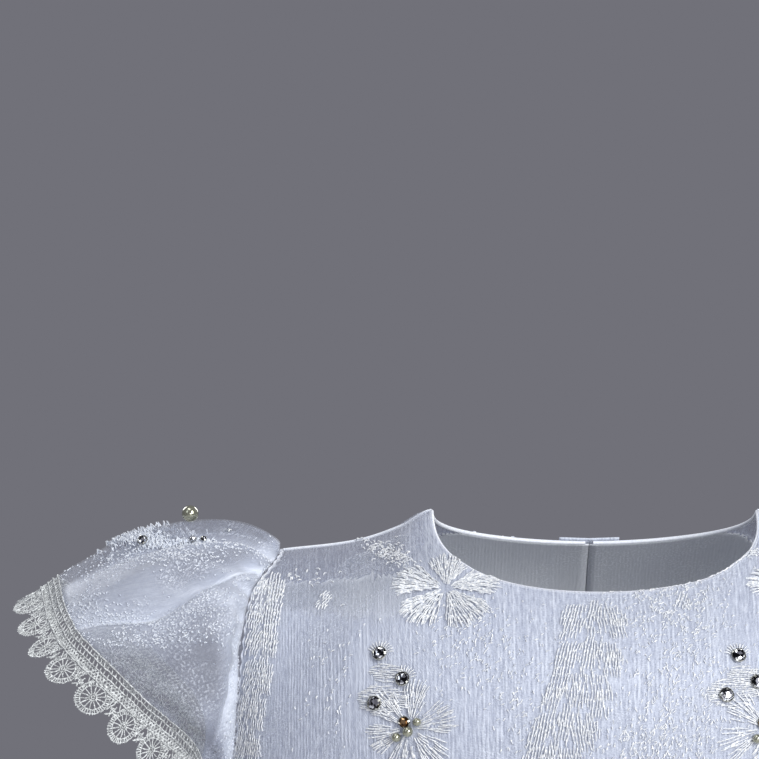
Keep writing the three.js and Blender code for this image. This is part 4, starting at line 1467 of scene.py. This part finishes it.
# finished pieces: work, finish, thread radius in millimetres, slot and the nodes they replace
threadPieces = {
    "bodiceFrontEmbroidery": (bodiceWork["front"], "thread", 0.19, "bodice_front", ()),
    "bodiceBackEmbroidery": (bodiceWork["back"], "thread", 0.19, "bodice_back_left", ()),
    "sleeveLeftEmbroidery": (sleeveWork[1], "fineThread", 0.22, "sleeve_left", ()),
    "sleeveRightEmbroidery": (sleeveWork[-1], "fineThread", 0.22, "sleeve_right", ()),
    "cuffLaceLeft": (laceWork[1], "laceThread", 0.2, "cuff_lace_left", ("cuff_lace_left",)),
    "cuffLaceRight": (laceWork[-1], "laceThread", 0.2, "cuff_lace_right", ("cuff_lace_right",)),
    "skirtFrontEmbroidery": (skirtWork["Front"], "whiteThread", 0.21, "skirt_front", ()),
    "skirtBackEmbroidery": (skirtWork["Back"], "whiteThread", 0.21, "skirt_back", ()),
    "neckRim": (rim, "binding", trims["neckRim"], "bodice_front", ()),
    "bodiceSeams": (seams, "binding", trims["shoulder"], "bodice_front", ()),
    "waistPiping": (piping, "binding", trims["piping"], "skirt_front", ()),
    "placketStitches": (placketWork, "thread", 0.16, "back_placket", ()),
    "hemStitchesFront": (hemWork["Front"], "thread", 0.24, "skirt_front", ()),
    "hemStitchesBack": (hemWork["Back"], "thread", 0.24, "skirt_back", ()),
}
beadPieces = {
    "pearls": ("pearl", "pearl", "pearl"), "rhinestones": ("stone", "stone", "crystal"),
    "stoneClaws": ("claws", "claws", "claw"), "amberStones": ("amber", "stone", "amber"),
}
finishPiece(placket, ["back_placket"], finishes["linedOrganza"])
thicken(placket, trims["placketWall"])
for name, (work, finish, radius, slotName, nodes) in threadPieces.items():
    sides = 8 if finish == "binding" else 3
    made = finishPiece(work.piece(name, finishes[finish], radius, sides), nodes)
    print(name, len(made.data.polygons), "faces")
for name, (kind, shape, finish) in beadPieces.items():
    made = finishPiece(beads[kind].piece(name, beadShapes[shape], finishes[finish]), ())
    print(name, len(made.data.polygons), "faces")

placketSurface = surfaceOf(placket)
for k, z in enumerate(trims["buttonZ"]):
    spot = Beads()
    spot.add(placerOn(placketSurface, *backRay(0, z)), 0, 0, 0.05)
    node = f"button_{k + 1}"
    finishPiece(spot.piece(f"pearlButton{k + 1}", beadShapes["button"], finishes["button"]), (node,))

# the placket is kept with the other pieces of cloth
pieces["placket"] = placket
